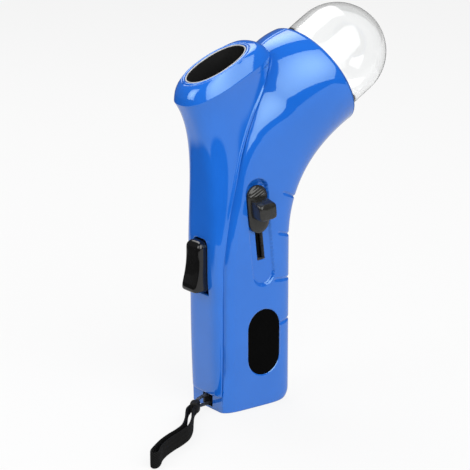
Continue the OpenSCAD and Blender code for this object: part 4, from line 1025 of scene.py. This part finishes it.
def floor_finish():
    """White floor: it takes shadows, and glows for camera, mirror and clear rays so that it stays white.
    In mirror rays the glow is a field bounded by three straight edges, with a dim room beyond."""
    material = bpy.data.materials.new("white_floor")
    material.use_nodes = True
    tree = material.node_tree
    tree.nodes.clear()
    path = add_node(tree, "LightPath", {}).outputs
    where = add_node(tree, "TexCoord", {}).outputs["Object"]
    field = FLOOR_GLOSS
    for direction, reach in FLOOR_EDGES:
        along = add_node(tree, "VectorMath", {0: where, 1: direction}, operation="DOT_PRODUCT")
        span = {"From Min": reach + FLOOR_FADE, "From Max": reach - FLOOR_FADE}
        span["Value"] = along.outputs["Value"]
        fade = add_node(tree, "MapRange", span, interpolation_type="SMOOTHSTEP")
        field = math_node(tree, "MULTIPLY", field, fade.outputs["Result"])
    field = math_node(tree, "MAXIMUM", field, DIM_GLOSS)
    seen = math_node(tree, "MAXIMUM", path["Is Camera Ray"], path["Is Transmission Ray"])
    share = math_node(tree, "MAXIMUM", math_node(tree, "MULTIPLY", seen, FLOOR_SHARE), path["Is Glossy Ray"])
    strength = math_node(tree, "MAXIMUM", seen, field)
    matte = add_node(tree, "BsdfDiffuse", {"Color": FLOOR_PALE}).outputs["BSDF"]
    glow = add_node(tree, "Emission", {"Color": WHITE, "Strength": strength}).outputs["Emission"]
    both = add_node(tree, "MixShader", {"Fac": share, 1: matte, 2: glow}).outputs["Shader"]
    add_node(tree, "OutputMaterial", {"Surface": both})
    return material


mesh = bpy.data.meshes.new("floor")
corners = [(x * FLOOR_HALF, y * FLOOR_HALF, 0.0) for x, y in ((-1, -1), (1, -1), (1, 1), (-1, 1))]
mesh.from_pydata(corners, [], [(0, 1, 2, 3)])
floor = bpy.data.objects.new("floor", mesh)
scene.collection.objects.link(floor)
mesh.materials.append(floor_finish())

world = bpy.data.worlds.new("studio")
world.use_nodes = True
room = world.node_tree
path = add_node(room, "LightPath", {}).outputs
seen = math_node(room, "MAXIMUM", path["Is Camera Ray"], path["Is Transmission Ray"])
level = math_node(room, "MULTIPLY_ADD", path["Is Glossy Ray"], ROOM_MIRROR - ROOM_LIGHT, ROOM_LIGHT)
level = math_node(room, "MULTIPLY_ADD", seen, ROOM_SEEN - ROOM_LIGHT, level)
room.nodes["Background"].inputs["Color"].default_value = WHITE
room.links.new(level, room.nodes["Background"].inputs["Strength"])
scene.world = world


def softbox(name, at, aim, size, power):
    """Rectangular light at a point in metres, turned towards another and brightest in its middle: its
    strength eases down with the distance from the middle, as with a lamp behind cloth."""
    data = bpy.data.lights.new(name, "AREA")
    data.shape = "RECTANGLE"
    data.size, data.size_y = size
    data.energy = power
    data.use_nodes = True
    tree = data.node_tree
    at_lamp = add_node(tree, "NewGeometry", {}).outputs["Parametric"]
    apart = add_node(tree, "VectorMath", {0: at_lamp, 1: LAMP_CENTRE}, operation="DISTANCE").outputs["Value"]
    span = {"From Max": LAMP_REACH, "To Min": LAMP_MIDDLE, "To Max": LAMP_EDGE, "Value": apart}
    fall = add_node(tree, "MapRange", span, interpolation_type="SMOOTHSTEP")
    tree.links.new(fall.outputs["Result"], tree.nodes["Emission"].inputs["Strength"])
    stand(bpy.data.objects.new(name, data), at, np.array(at) - np.array(aim))


softbox("left_box", (-0.62, 0.13, 1.14), (0.0, 0.0, 0.12), (0.90, 0.98), 8.6)
softbox("right_box", (0.985, -0.08, 0.82), (0.0, 0.0, 0.12), (1.28, 1.58), 18.9)
softbox("front_box", (-0.14, -0.99, 0.62), (0.0, 0.0, 0.16), (0.70, 0.80), 5.6)
